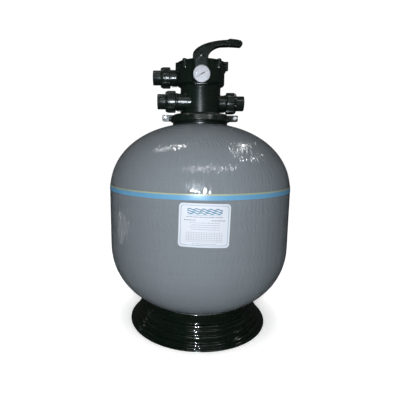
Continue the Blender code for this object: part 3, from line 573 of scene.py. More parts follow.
def make_band():
    """Two films round the tank: the blue band and the pinstripe on its upper edge."""
    low, high = (corner.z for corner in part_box("tank_band"))
    split = low + 0.0125
    films = (("band_blue", low, split, "band_blue"), ("band_pinstripe", split + 0.0001, high, "band_cream"))
    for name, foot, head, colour in films:
        heights = [foot + (head - foot) * step / 6 for step in range(7)]
        inner = [(wall_radius(z) + GAP, z) for z in heights]
        outer = [(wall_radius(z) + GAP * 2.1, z) for z in reversed(heights)]
        item = as_object(name, turned(inner + outer, 320))
        nodes = ["tank_band"] if name == "band_blue" else []
        dress(item, "filter", "band_film", nodes, look=colour)


LABEL_ARC = (-0.0680, 0.0680)
LABEL_Z = (0.3400, 0.4570)
LABEL_CORNER_R = 0.0100
LABEL_TILT = math.radians(-1.5)
LABEL_MIDDLE = Vector(((LABEL_ARC[0] + LABEL_ARC[1]) / 2, (LABEL_Z[0] + LABEL_Z[1]) / 2))
LABEL_HALF = Vector(((LABEL_ARC[1] - LABEL_ARC[0]) / 2, (LABEL_Z[1] - LABEL_Z[0]) / 2))
FILM_R = TANK_R + GAP
FILM_OUT_R = FILM_R + 0.0002
PRINT_R = FILM_OUT_R + 0.00001
PRINT_OUT_R = FILM_OUT_R + 0.00006


def on_label(across, up, radius):
    """A point of the label, from its middle, in its own slightly turned directions."""
    askew = Matrix.Rotation(LABEL_TILT, 2) @ Vector((across, up))
    return around(radius, FRONT + (LABEL_MIDDLE.x + askew.x) / TANK_R, LABEL_MIDDLE.y + askew.y)


def add_patch(shape, low, high, inner, outer, corner=0.0):
    """A thin curved plate on the label between two corners, with rounded ends."""
    span = high[0] - low[0]
    columns = max(1, math.ceil(span / 0.006))
    arcs = [low[0] + span * step / columns for step in range(columns + 1)]
    if corner:
        steps = [corner * (1 - math.cos(math.pi / 2 * step / 6)) for step in range(7)]
        steps[0] = corner * 0.004
        arcs = [low[0] + step for step in steps]
        arcs += [low[0] + corner + (span - 2 * corner) * step / columns for step in range(1, columns)]
        arcs += [high[0] - step for step in reversed(steps)]
    sections = []
    for arc in arcs:
        near = min(arc - low[0], high[0] - arc)
        cut = corner - math.sqrt(corner**2 - (corner - near) ** 2) if near < corner else 0.0
        foot, head = low[1] + cut, high[1] - cut
        section = ((foot, inner), (head, inner), (head, outer), (foot, outer))
        sections.append([on_label(arc, up, radius) for up, radius in section])
    add_loft(shape, sections)


def add_mark(shape, left, right, low, high):
    add_patch(shape, (left, low), (right, high), PRINT_R, PRINT_OUT_R)


def add_words(shape, draw, left, right, up, tall):
    """A line of word-like bars of uneven length."""
    at = left
    while at < right - 0.002:
        end = min(right, at + draw.uniform(0.002, 0.008))
        add_mark(shape, at, end, up, up + tall)
        at = end + 0.0012


def add_frame_line(shape, inset, thick):
    """A closed rounded line inside the label's edge."""
    half = LABEL_HALF - Vector((inset, inset))
    corner = LABEL_CORNER_R - inset * 0.6
    path = rectangle(-half.x, half.x, -half.y, half.y, corner, 6)
    dense = []
    for here, there in zip(path, path[1:] + path[:1]):
        pieces = max(1, math.ceil((Vector(there) - Vector(here)).length / 0.006))
        dense += [Vector(here).lerp(Vector(there), step / pieces) for step in range(pieces)]
    rings = []
    for point in dense:
        inner = Vector((point.x * (1 - thick / half.x), point.y * (1 - thick / half.y)))
        places = ((point, PRINT_R), (inner, PRINT_R), (inner, PRINT_OUT_R), (point, PRINT_OUT_R))
        rings.append([on_label(place.x, place.y, radius) for place, radius in places])
    add_loft(shape, rings, closed=True)


def make_label():
    """Film, a frame line, a generic wave heading, word-like lines and an empty table."""
    draw = random.Random(7)
    film = bmesh.new()
    add_patch(film, tuple(-LABEL_HALF), tuple(LABEL_HALF), FILM_R, FILM_OUT_R, LABEL_CORNER_R)
    dress(as_object("rating_label_film", film), "filter", "label_film", ["rating_label"])
    blue = bmesh.new()
    add_frame_line(blue, 0.0050, 0.0009)
    heading_half, wave_steps, wave_half = 0.046, 40, 0.0014
    stride = 2 * heading_half / wave_steps
    for row in range(3):
        base = 0.0430 - 0.0052 * row
        for step in range(wave_steps):
            left = stride * step - heading_half
            lift = 0.0016 * math.sin(2 * math.pi * 5 * step / wave_steps + row)
            add_mark(blue, left, left + stride, base + lift - wave_half, base + lift + wave_half)
    add_mark(blue, -heading_half, heading_half, 0.0272, 0.0280)
    dress(as_object("rating_label_blue_print", blue), "filter", "label_film", look="label_blue")
    grey = bmesh.new()
    add_words(grey, draw, -0.048, 0.050, 0.0218, 0.0018)
    add_words(grey, draw, -0.054, -0.024, 0.0132, 0.0020)
    add_words(grey, draw, 0.018, 0.054, 0.0132, 0.0020)
    for row in range(4):
        add_words(grey, draw, -0.040 + 0.006 * (row % 2), 0.040, 0.0070 - 0.0058 * row, 0.0009)
    table_low, table_high, table_half = -0.0430, -0.0185, 0.047
    for column in range(15):
        left = -table_half + 2 * table_half * column / 14
        add_mark(grey, left, left + 0.0005, table_low, table_high)
    for row in range(6):
        up = table_low + (table_high - table_low) * row / 5
        add_mark(grey, -table_half, table_half + 0.0005, up, up + 0.0004)
    add_words(grey, draw, -0.030, 0.034, -0.0490, 0.0010)
    dress(as_object("rating_label_grey_print", grey), "filter", "label_film", look="label_grey")


# ---------------------------------------------------------------- base, neck and clamp

BASE_RIM_R = BASE_HIGH.x
BASE_EDGES = ((0.2271, 0.0145), (0.2151, 0.0324), (0.2056, 0.0467), (0.1975, 0.0588), (0.1843, 0.0785))


def make_base():
    """The stepped skirt: each tread runs into the next riser in a soft curve."""
    profile = [(BASE_RIM_R, 0.0, 0.0008), (BASE_RIM_R, 0.0046, 0.0025)]
    tread = 0.0052
    for radius, height in BASE_EDGES[:-1]:
        profile.append((radius + 0.0009, tread, 0.0022))
        profile.append((radius, height, 0.0038))
        tread = height + 0.0012
    profile.append((BASE_EDGES[-1][0] + 0.0009, tread, 0.0040))
    profile.append((BASE_EDGES[-1][0], BASE_EDGES[-1][1], 0.0060))
    profile += [(0.1815, 0.0885, 0.0018), (0.1775, 0.0862, 0.0010), (0.1795, 0.0600, 0.0040)]
    profile += [(0.2200, 0.0060, 0.0030), (0.2200, 0.0, 0.0008)]
    shape = turned(rounded(profile, 5), 256)
    dress(as_object("base_stepped_skirt", shape), "filter", "gloss_black", ["base_stand"])


def make_neck():
    profile = [
        (0.0660, NECK_LOW.z, 0.001), (0.0760, NECK_LOW.z, 0.001),
        (0.0760, upper_head_z(0.0760) + GAP), (0.0915, upper_head_z(0.0915) + GAP, 0.0008),
        (0.0915, 0.6805, 0.0015), (0.0850, 0.6805, 0.0010), (0.0850, 0.6880, 0.0008),
        (0.0905, 0.6880, 0.0008), (0.0905, NECK_HIGH.z, 0.0008), (0.0660, NECK_HIGH.z, 0.0006),
    ]
    shape = turned(rounded(profile, 4), 160)
    dress(as_object("neck_collar", shape), "filter", "valve_black", ["neck_flange"])


BOLT_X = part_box("clamp_bolt_right")[1].x - 0.0088
BOLT_Z = 0.6985
LUG_DEPTH = 0.0095


def clamp_shape(side):
    """Both halves in one: the V band with its lugs and their stiffening ribs."""
    low, high = CLAMP_LOW.z, CLAMP_HIGH.z
    profile = [
        (0.0856, low, 0.0008), (0.0955, low, 0.0012), (0.0989, 0.6865, 0.0018),
        (0.0932, 0.7043, 0.0030), (0.0875, high, 0.0012), (0.0856, high, 0.0006),
        (0.0856, 0.7039, 0.0005), (0.0910, 0.7039), (0.0910, 0.6876), (0.0856, 0.6876, 0.0005),
    ]
    shape = turned(rounded(profile, 3), 160)
    near = side * 0.0005
    for sign in (1, -1):
        root, tip = 0.0916 * sign, 0.1260 * sign
        lug = rounded([(root, 0.6865), (tip, 0.6875, 0.0030), (tip, 0.7075, 0.0030), (root, 0.7075)], 4)
        before = set(shape.verts)
        add_slab(shape, lug, lambda x: (LUG_DEPTH - 0.0005) / 2)
        for vert in set(shape.verts) - before:
            vert.co.y += near + side * (LUG_DEPTH - 0.0005) / 2
        rib_y = sorted((side * (LUG_DEPTH - 0.001), side * (LUG_DEPTH + 0.0045)))
        rib_x = sorted((0.0880 * sign, 0.1010 * sign))
        add_block(shape, (rib_x[0], rib_y[0], 0.6875), (rib_x[1], rib_y[1], 0.7000))
    return shape


def make_clamp():
    reach = 0.2
    for name, side in (("clamp_front", -1), ("clamp_back", 1)):
        cuts = bmesh.new()
        other_y = sorted((side * 0.0015, -side * reach))
        add_block(cuts, (-reach, other_y[0], 0.6), (reach, other_y[1], 0.8))
        item = moulded(name + "_band", clamp_shape(side), 0.0009, 2, cuts)
        dress(item, "filter", "valve_black", [name])


def hexagon(flats, angle):
    """The radius at an angle of a hexagon with the given width across flats."""
    sector = math.pi / 3
    return flats / 2 / math.cos((angle + sector / 2) % sector - sector / 2)


def hexed(profile, sides=72):
    """Turned shape whose third value, where given, is a width across flats that limits the radius."""
    angles = [2 * math.pi * index / sides for index in range(sides)]
    rings = []
    for radius, height, *flats in profile:
        reaches = [min(radius, hexagon(flats[0], angle)) if flats else radius for angle in angles]
        rings.append([around(reach, angle, height) for reach, angle in zip(reaches, angles)])
    shape = bmesh.new()
    add_loft(shape, rings)
    return shape


def make_clamp_bolts():
    """Each profile is (radius, height), with the width across flats where the hexagon cuts it."""
    flats = 0.0106
    corner = 0.0062
    # Height 0 is under the bolt's head, and the shank runs down from it.
    bolt_profile = [
        (0.0034, -0.0330), (0.0040, -0.0322), (0.0040, 0.0), (0.0068, 0.0), (0.0071, 0.0004),
        (0.0071, 0.0010), (0.0063, 0.0017, flats), (corner, 0.0052, flats), (0.0053, 0.0060, flats),
        (0.0045, 0.0060), (0.0040, 0.0056),
    ]
    nut_profile = [
        (0.0043, 0.0), (0.0053, 0.0, flats), (corner, 0.0008, flats), (corner, 0.0052, flats),
        (0.0053, 0.0060, flats), (0.0050, 0.0060), (0.0043, 0.0054),
    ]
    for name, x, front in (("right", BOLT_X, -1), ("left", -BOLT_X, 1)):
        turn = -front * math.pi / 2
        bolt = moved(hexed(bolt_profile), (x, front * (LUG_DEPTH + GAP), BOLT_Z), (turn, 0, 0))
        item = as_object("clamp_hex_bolt_" + name, bolt)
        dress(item, "filter", "stainless", ["clamp_bolt_" + name], sharp=30)
        nut = hexed(nut_profile)
        caps = [face for face in nut.faces if len(face.verts) > 4]
        edges = [edge for face in caps for edge in face.edges]
        bmesh.ops.delete(nut, geom=caps, context="FACES_ONLY")
        bmesh.ops.bridge_loops(nut, edges=edges)
        moved(nut, (x, -front * (LUG_DEPTH + GAP), BOLT_Z), (-turn, 0, 0))
        item = as_object("clamp_hex_nut_" + name, nut)
        dress(item, "filter", "stainless", ["clamp_nut_" + name], sharp=30)


# ---------------------------------------------------------------- valve

LIP_R = 0.0905
BARREL_R = 0.0660
BOWL_R = 0.0780
BOWL_BORE_R = 0.0690
PLATE_Z = (0.7980, 0.8060)
PORT_R = 0.0262
PORT_BORE_R = 0.0200
BOSS_CIRCLE_R = 0.0765
SCREW_COUNT = 8
GAUGE_X = (GAUGE_LOW.x + GAUGE_HIGH.x) / 2
GAUGE_Z = (GAUGE_LOW.z + GAUGE_HIGH.z) / 2
GAUGE_R = 0.0260
PORT_RIB_R = PORT_R + 0.0016
SCREW_BOSS_R = 0.0070
TAB_LOW = (0.0740, -0.0080)
TAB_HIGH = (0.0892, 0.0080)


def ports():
    """Each port's side, face and axis, from its nut's joint."""
    for name in ("pump", "return", "waste"):
        place = Vector(JOINTS[name + "_nut_turn"]["pos_m"])
        yield name, (1 if place.x > 0 else -1), place


def screw_angles():
    return [2 * math.pi * index / SCREW_COUNT for index in range(SCREW_COUNT)]


def gauge_pad(back):
    """The outline of the pad under the gauge, which the body and the lid share."""
    left, right, front = GAUGE_X - GAUGE_R, GAUGE_X + GAUGE_R, -0.0840
    return rounded([(left, back), (left, front, 0.010), (right, front, 0.010), (right, back)], 6)


def make_valve_body():
    """Flange, barrel and bowl in one moulding, with ports, webs, gauge boss and screw bosses."""
    top = LID_LOW.z + 0.0060
    outline = [
        (0.0, BODY_LOW.z), (LIP_R, BODY_LOW.z, 0.0008), (LIP_R, 0.7035, 0.0008),
        (0.0845, 0.7035, 0.0006), (0.0845, 0.7095, 0.0020), (BARREL_R, 0.7095, 0.0030),
        (BARREL_R, 0.7975, 0.0020), (0.0750, 0.8010, 0.0030), (BOWL_R, 0.8045, 0.0020),
        (BOWL_R, top, 0.0006), (0.0, top),
    ]
    shape = turned(rounded(outline, 4, closed=False), 128)
    cuts = bmesh.new()
    for name, side, place in ports():
        root = Vector((side * 0.030, place.y, place.z))
        add_rod(shape, root, place, PORT_R)
        collar = place - Vector((side * 0.0125, 0, 0))
        if name != "pump":
            add_rod(shape, collar - Vector((side * 0.004, 0, 0)), collar, PORT_RIB_R)
        add_rod(cuts, root, place + Vector((side * 0.01, 0, 0)), PORT_BORE_R, 64)
        web_x = sorted((side * 0.050, collar.x - side * 0.004))
        web_z = sorted((place.z, place.z - PORT_R - 0.004))
        add_block(shape, (web_x[0], place.y - 0.002, web_z[0]), (web_x[1], place.y + 0.002, web_z[1]))
    add_column(shape, gauge_pad(-0.040), 0.7930, top)
    add_rod(shape, (GAUGE_X, -0.0800, GAUGE_Z), (GAUGE_X, -0.0852, GAUGE_Z), 0.0115)
    for angle in screw_angles():
        foot = around(BOSS_CIRCLE_R, angle, 0.8490)
        add_rod(shape, foot, around(BOSS_CIRCLE_R, angle, top), SCREW_BOSS_R, 32)
        add_rod(shape, around(BOSS_CIRCLE_R - 0.005, angle, 0.8400), foot, 0.0030, 32, SCREW_BOSS_R)
    add_block(shape, (*TAB_LOW, 0.8512), (*TAB_HIGH, top))
    add_rod(cuts, (0, 0, PLATE_Z[1]), (0, 0, top + 0.01), BOWL_BORE_R, 96)
    add_rod(cuts, (0, 0, BODY_LOW.z - 0.01), (0, 0, PLATE_Z[0]), 0.0590, 96)
    item = moulded("valve_body_moulding", shape, 0.0011, 3, cuts)
    dress(item, "filter", "valve_black", ["valve_body"])


def make_lid():
    """The domed lid with screw bosses, an index tab and six plain position bars."""
    seat = 0.8663
    bore = 0.0089
    profile = [
        (0.0050, 0.8680, 0.0010), (0.0180, 0.8680, 0.0010), (0.0180, 0.8775, 0.0020),
        (0.0500, 0.8735, 0.0050), (0.0610, 0.8680, 0.0020), (0.0610, LID_LOW.z, 0.0006),
        (0.0660, LID_LOW.z, 0.0006), (0.0660, seat, 0.0004), (0.0800, seat, 0.0006),
        (0.0800, 0.8713, 0.0012), (0.0690, 0.8745, 0.0040), (0.0550, 0.8786, 0.0080),
        (0.0310, 0.8835, 0.0020), (0.0050, 0.8835, 0.0010),
    ]
    shape = turned(rounded(profile, 4), 128)
    cuts = bmesh.new()
    boss_top = 0.8752
    for angle in screw_angles():
        foot, head = (around(BOSS_CIRCLE_R, angle, height) for height in (seat, boss_top))
        add_rod(shape, foot, head, SCREW_BOSS_R, 32)
        sink = around(BOSS_CIRCLE_R, angle, boss_top - 0.0025)
        add_rod(cuts, sink, sink + Vector((0, 0, 0.01)), 0.0051, 32)
    add_column(shape, gauge_pad(-0.068), seat, 0.8702)
    add_block(shape, (*TAB_LOW, seat), (*TAB_HIGH, 0.8785))
    for index in range(6):
        turn = Matrix.Rotation(math.pi / 3 * index + math.pi / 6, 4, "Z")
        add_block(shape, (0.036, -0.0016, 0.8750), (0.060, 0.0016, 0.8800), turn)
    add_rod(cuts, (0, 0, 0.86), (0, 0, 0.91), bore, 48)
    item = moulded("valve_lid_moulding", shape, 0.0010, 3, cuts)
    dress(item, "filter", "valve_black", ["valve_lid"])


def make_lid_screws():
    low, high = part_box("lid_screw_1")
    under = 0.8730
    profile = rounded([
        (0.0, low.z), (0.0024, low.z + 0.0024), (0.0024, under), (0.0045, under, 0.0003),
        (0.0045, under + 0.0016, 0.0008), (0.0030, high.z, 0.0006), (0.0019, high.z, 0.0001),
        (0.0016, high.z - 0.0014, 0.0001), (0.0, high.z - 0.0016),
    ], 3, closed=False)
    for number, angle in enumerate(screw_angles(), start=1):
        shape = moved(turned(profile, 32), around(BOSS_CIRCLE_R, angle))
        item = as_object(f"lid_pan_screw_{number}", shape)
        dress(item, "filter", "stainless", [f"lid_screw_{number}"])


def rib_wave(angle, count):
    """1 on a grip rib and 0 between ribs, with soft flanks."""
    wave = math.sin(angle * count)
    return min(1.0, max(0.0, 0.5 + 1.6 * wave))


def make_unions():
    """Each port's ribbed nut and plain tail. Local Z runs outwards from the port's face."""
    nut_profile = rounded([
        (0.0267, -0.0115, 0.0004), (0.0333, -0.0115, 0.0012), (0.0350, -0.0095, 0.0010),
        (0.0350, 0.0130, 0.0020), (0.0315, 0.0210, 0.0015), (0.0246, 0.0210, 0.0004),
        (0.0246, 0.0084), (0.0267, 0.0084),
    ], 3)
    tail_profile = rounded([
        (0.0200, 0.0030, 0.0004), (0.0262, 0.0030, 0.0004), (0.0262, 0.0080, 0.0004),
        (0.02415, 0.0080), (0.02415, 0.0470, 0.0010), (0.0200, 0.0470, 0.0008),
    ], 4)
    for name, side, place in ports():
        facing = (0, side * math.pi / 2, 0)
        shape = turned(nut_profile, 160)
        for vert in shape.verts:
            radius = math.hypot(vert.co.x, vert.co.y)
            if radius < 0.0305:
                continue
            share = 1.0 - rib_wave(math.atan2(vert.co.y, vert.co.x), 10)
            scale = (radius - 0.0030 * share) / radius
            vert.co.x *= scale
            vert.co.y *= scale
        nut = as_object("union_grip_nut_" + name, moved(shape, place, facing))
        dress(nut, name + "_nut", "valve_black", ["union_nut_" + name], look="nut_black")
        tail = as_object("union_pipe_tail_" + name, moved(turned(tail_profile, 96), place, facing))
        dress(tail, "filter", "valve_black", ["union_tail_" + name], look="nut_black")


# ---------------------------------------------------------------- handle

CAM_R = 0.0085
CAM_ARM = 0.0155
GRIP_X = 0.0870
SPRING_R = 0.0140
SPRING_WIRE_R = 0.0019
SPRING_TURNS = 4


def bent(*corners, steps=14):
    """A curve through the first and last of four (x, z) corners, drawn towards the other two."""
    ends = [Vector((*corner, 0)) for corner in corners]
    return [Vector((point.x, point.y)) for point in interpolate_bezier(*ends, steps)]


def offset_path(path, distance):
    """The path moved sideways, to the left of its direction."""
    made = []
    for index, point in enumerate(path):
        along = path[min(index + 1, len(path) - 1)] - path[max(index - 1, 0)]
        made.append(point + Vector((-along.y, along.x)).normalized() * distance)
    return made


def handle_half(x):
    """Half the lever's width, which narrows towards its tip."""
    share = (x - HANDLE_LOW.x) / (HANDLE_HIGH.x - HANDLE_LOW.x)
    return HANDLE_HIGH.y - 0.0040 * share


def make_handle():
    """A lever with a thin web between two rims, solid cheeks at the cam and a ribbed grip."""
    under = bent((CAM_ARM + CAM_R, PIN_Z), (0.0240, 0.9085), (0.0420, 0.9265), (0.0700, 0.9275))
    under.append(Vector((GRIP_X, 0.9275)))
    over = bent((HANDLE_LOW.x, 0.9025), (-0.0190, 0.9240), (0.0250, 0.9425), (GRIP_X, 0.9446))
    cam = [
        Vector((CAM_ARM + CAM_R * math.sin(turn), PIN_Z - CAM_R * math.cos(turn)))
        for turn in (math.radians(step) for step in range(0, 90, 10))
    ]
    heel = [Vector((HANDLE_LOW.x, HANDLE_LOW.z))] + cam
    shape = bmesh.new()
    web = heel + under + over[::-1]
    add_slab(shape, [tuple(point) for point in web], lambda x: 0.55 * handle_half(x))
    rim = 0.0034
    for path, side in ((under, rim), (over, -rim)):
        strip = path + offset_path(path, side)[::-1]
        add_slab(shape, [tuple(point) for point in strip], handle_half)
    cheek = rounded([
        (HANDLE_LOW.x, HANDLE_LOW.z, 0.0015), (CAM_ARM, HANDLE_LOW.z), *(tuple(point) for point in cam[1:]),
        (CAM_ARM + CAM_R, PIN_Z), (0.0200, 0.9030, 0.006), (-0.0180, 0.9030, 0.004),
        (HANDLE_LOW.x, 0.8960, 0.002),
    ], 4)
    add_slab(shape, cheek, lambda x: 0.92 * handle_half(x))
    for side in (-1, 1):
        hub_y = sorted((side * 0.012, side * HANDLE_HIGH.y))
        add_rod(shape, (0, hub_y[0], PIN_Z), (0, hub_y[1], PIN_Z), 0.0075, 32)
    grip = rounded([
        (GRIP_X - 0.002, 0.9278), (0.1276, 0.9257, 0.004), (0.1325, 0.9298, 0.003), (0.1336, 0.9350, 0.003),
        (0.1313, 0.9402, 0.003), (0.1260, 0.9436, 0.004), (0.1110, 0.9462, 0.004),
        (GRIP_X + 0.001, 0.9480, 0.002), (GRIP_X - 0.002, 0.9440),
    ], 4)
    add_slab(shape, grip, lambda x: 0.86 * handle_half(x))
    for index in range(7):
        x = GRIP_X + 0.0050 + 0.0056 * index
        share = index / 6
        low = 0.9277 - 0.0020 * share
        high = 0.9484 - 0.0042 * share**2
        add_slab(shape, rectangle(x - 0.0015, x + 0.0015, low, high, 0.001, 3), handle_half)
    cuts = bmesh.new()
    add_block(cuts, (-0.0135, -0.0094, PIN_Z - 0.02), (0.0135, 0.0094, PIN_Z + 0.0115))
    add_rod(cuts, (0, -0.03, PIN_Z), (0, 0.03, PIN_Z), 0.0033, 32)
    item = moulded("handle_lever", shape, 0.0007, 3, cuts)
    dress(item, "valve_lever", "valve_black", ["handle"])
    pin_half = 0.0169
    pin_corners = [(0.0, -pin_half), (0.0030, -pin_half, 0.0005), (0.0030, pin_half, 0.0005), (0.0, pin_half)]
    pin = turned(rounded(pin_corners, 3, closed=False), 32)
    moved(pin, (0, 0, PIN_Z), (math.pi / 2, 0, 0))
    dress(as_object("handle_cross_pin", pin), "valve_rotor", "stainless", ["handle_pin"])
    low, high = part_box("friction_washer")
    washer = rounded([
        (0.0089, low.z, 0.0003), (high.x, low.z, 0.0005), (high.x, high.z, 0.0005), (0.0089, high.z, 0.0003)
    ], 3)
    item = as_object("handle_slip_washer", turned(washer, 96))
    dress(item, "valve_index", "inner_plastic", ["friction_washer"])


def make_spring():
    """The coil on the shaft, with its top at the lid."""
    low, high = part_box("rotor_spring")
    length = high.z - low.z
    steps = SPRING_TURNS * 32
    wire_angles = [2 * math.pi * side / 12 for side in range(12)]
    rings = []
    for step in range(steps + 1):
        turn = 2 * math.pi * SPRING_TURNS * step / steps
        middle = low.z + SPRING_WIRE_R + (length - 2 * SPRING_WIRE_R) * step / steps
        rings.append([
            around(SPRING_R + SPRING_WIRE_R * math.cos(angle), turn, middle + SPRING_WIRE_R * math.sin(angle))
            for angle in wire_angles
        ])
    shape = bmesh.new()
    add_loft(shape, rings)
    spring = as_object("rotor_coil_spring", shape)
    dress(spring, "valve_index", "stainless", ["rotor_spring"])
    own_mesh(spring)


# ---------------------------------------------------------------- gauge

DIAL_DEPTH = 0.0110
TICK_THICK = 0.0001
SWEEP = math.radians(240)
NEEDLE_ZERO = math.radians(31)


def on_gauge(shape, depth=0.0):
    """Puts a shape made with +Z towards the viewer on the gauge, at a depth from its back."""
    return moved(shape, (GAUGE_X, GAUGE_HIGH.y - depth, GAUGE_Z), (math.pi / 2, 0, 0))


def dial_angle(share):
    """The direction on the dial of a share of full scale. Zero is at the lower left."""
    return math.pi + NEEDLE_ZERO - SWEEP * share


def add_tick(shape, angle, start, end, half):
    along = Vector((math.cos(angle), math.sin(angle), 0))
    across = Vector((-along.y, along.x, 0)) * half
    corners = [along * start - across, along * end - across, along * end + across, along * start + across]
    add_loft(shape, [[corner + Vector((0, 0, z)) for corner in corners] for z in (0.0, TICK_THICK)])


def make_gauge():
    """Case, dial with its scale, glass, needle and stem."""
    rim, inner = GAUGE_R, 0.0252
    case = rounded([
        (0.0, 0.0), (rim - 0.002, 0.0, 0.0015), (rim, 0.002, 0.001), (rim, 0.0205, 0.0012),
        (rim - 0.0008, 0.0220, 0.0006), (inner + 0.0002, 0.0220, 0.0004), (inner, 0.0200, 0.0004),
        (inner, DIAL_DEPTH - 0.001), (0.0, DIAL_DEPTH - 0.001),
    ], 4, closed=False)
    dress(as_object("gauge_cup", on_gauge(turned(case, 128))), "filter", "gauge_black", ["gauge_case"])
    edge = inner - GAP
    dial = [(0.0, 0.0103), (edge, 0.0103), (edge, DIAL_DEPTH, 0.0002), (0.0, DIAL_DEPTH)]
    dial = rounded(dial, 2, closed=False)
    dress(as_object("gauge_dial_plate", on_gauge(turned(dial, 96))), "filter", "dial_face", ["gauge_dial"])
    marks = bmesh.new()
    for index in range(41):
        long = index % 10 == 0
        middle = index % 5 == 0
        start = 0.0165 if long else 0.0180 if middle else 0.0190
        add_tick(marks, dial_angle(index / 40), start, 0.0208, 0.00028 if long else 0.00012)
    arc_steps = 80
    for index in range(arc_steps):
        angle = dial_angle((index + 0.5) / arc_steps)
        half_arc = SWEEP / arc_steps * 0.0212 / 2
        add_tick(marks, angle, 0.02105, 0.02130, half_arc)
    on_gauge(marks, DIAL_DEPTH + 0.00005)
    dress(as_object("gauge_dial_marks", marks), "filter", "dial_face", look="dial_print")
    make_numerals()
    lens = [(0.0, 0.0185), (edge, 0.0185), (edge, 0.0198, 0.0004), (0.012, 0.0203, 0.01), (0.0, 0.0204)]
    lens = rounded(lens, 4, closed=False)
    dress(as_object("gauge_glass", on_gauge(turned(lens, 96))), "filter", "lens", ["gauge_lens"])
    make_needle()
    make_stem()


def make_numerals():
    """The plain figures 0 to 4 beside the long ticks."""
    for figure in range(5):
        curve = bpy.data.curves.new(f"dial_figure_{figure}", "FONT")
        curve.body = str(figure)
        curve.size = 0.0042
        curve.align_x = "CENTER"
        curve.align_y = "CENTER"
        curve.extrude = 0.00005
        curve.resolution_u = 3
        text = new_object(f"dial_text_{figure}", curve)
        bpy.context.view_layer.update()
        mesh = bpy.data.meshes.new_from_object(text.evaluated_get(bpy.context.evaluated_depsgraph_get()))
        bpy.data.objects.remove(text, do_unlink=True)
        shape = bmesh.new()
        shape.from_mesh(mesh)
        bmesh.ops.remove_doubles(shape, verts=shape.verts, dist=1e-7)
        bmesh.ops.translate(shape, verts=shape.verts, vec=around(0.0138, dial_angle(figure / 4), 0.00006))
        on_gauge(shape, DIAL_DEPTH)
        dress(as_object(f"gauge_dial_figure_{figure}", shape), "filter", "dial_face", look="dial_print")


def make_needle():
    """A tapered pointer with a short counterweight tail and a round hub cap."""
    upper = [(-0.0160, 0.0005), (-0.0015, 0.0010), (0.0005, 0.0016), (0.0105, 0.0019)]
    outline = [(-0.0175, 0.0), *upper, (0.0115, 0.0), *((x, -y) for x, y in reversed(upper))]
    shape = bmesh.new()
    add_column(shape, outline, 0.0, 0.0005)
    bmesh.ops.rotate(shape, verts=shape.verts, cent=(0, 0, 0), matrix=Matrix.Rotation(NEEDLE_ZERO, 3, "Z"))
    add_rod(shape, (0, 0, -0.0010), (0, 0, 0.0012), 0.0021, 32, 0.0018)
    depth = GAUGE_HIGH.y - JOINTS["needle_sweep"]["pos_m"][1]
    item = moulded("gauge_pointer", on_gauge(shape, depth), 0.00018, 1)
    dress(item, "needle", "needle_black", ["gauge_needle"])


def make_stem():
    """The brass hexagon between the gauge and its boss, with the thread's plain end."""
    flats = 0.0140
    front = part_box("gauge_stem")[0].y
    back = -0.0846
    length = back - front
    profile = [
        (0.0046, 0.0), (0.0072, 0.0, flats), (0.0080, 0.0008, flats), (0.0080, length - 0.0008, flats),
        (0.0072, length, flats), (0.0050, length), (0.0050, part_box("gauge_stem")[1].y - front),
    ]
    shape = moved(hexed(profile), (GAUGE_X, front, GAUGE_Z), (-math.pi / 2, 0, 0))
    dress(as_object("gauge_hex_stem", shape), "filter", "brass", ["gauge_stem"], sharp=30)


def dress_inner_pieces():
    """Seals, rotor and underdrain keep their shapes and get a worn finish of their own."""
    slots = {part["node"]: part.get("material_slot", "inner_plastic") for part in frame["record"]["subparts"]}
    for name, item in frame["nodes"].items():
        item.data.materials.clear()
        item.data.materials.append(FINISHES.get(slots[name], FINISHES["inner_plastic"]))


# ---------------------------------------------------------------- studio


def add_light(name, kind, location, power, size, aim=(0, 0, 0.5), tall=None, glossy=True, diffuse=True):
    data = bpy.data.lights.new(name, "AREA")
    data.shape = kind
    data.energy = power
    data.size = size
    if tall:
        data.size_y = tall
    lamp = new_object(name, data)
    lamp.location = location
    lamp.rotation_euler = (Vector(aim) - Vector(location)).to_track_quat("-Z", "Y").to_euler()
    lamp.visible_camera = False
    lamp.visible_glossy = glossy
    lamp.visible_diffuse = diffuse
    return lamp


def make_tube(name, start, end, width, power):
    """A ceiling tube: a long narrow lamp between two points, looking at the tank."""
    start, end = Vector(start), Vector(end)
    middle = (start + end) / 2
    lamp = add_light(name, "RECTANGLE", middle, power, (end - start).length, tall=width, diffuse=False)
    down = (Vector((0, 0, 0.6)) - middle).normalized()
    along = (end - start).normalized()
    across = down.cross(along).normalized()
    lamp.rotation_euler = Matrix((along, -across, -down)).transposed().to_euler()


def make_world():
    """A white surround for the eye, a soft fill for the surfaces and a dim room for reflections."""
    world = bpy.data.worlds.new("studio")
    bpy.context.scene.world = world
    world.use_nodes = True
    tree = world.node_tree
    path = tree.nodes.new("ShaderNodeLightPath")
    fill = maths(tree, "MULTIPLY_ADD", path.outputs["Is Glossy Ray"], -0.02, 0.06)
    strength = maths(tree, "MAXIMUM", fill, maths(tree, "MULTIPLY", path.outputs["Is Camera Ray"], 1.05))
    tree.links.new(strength, tree.nodes["Background"].inputs["Strength"])
    tree.nodes["Background"].inputs["Color"].default_value = (1.0, 1.0, 1.0, 1.0)


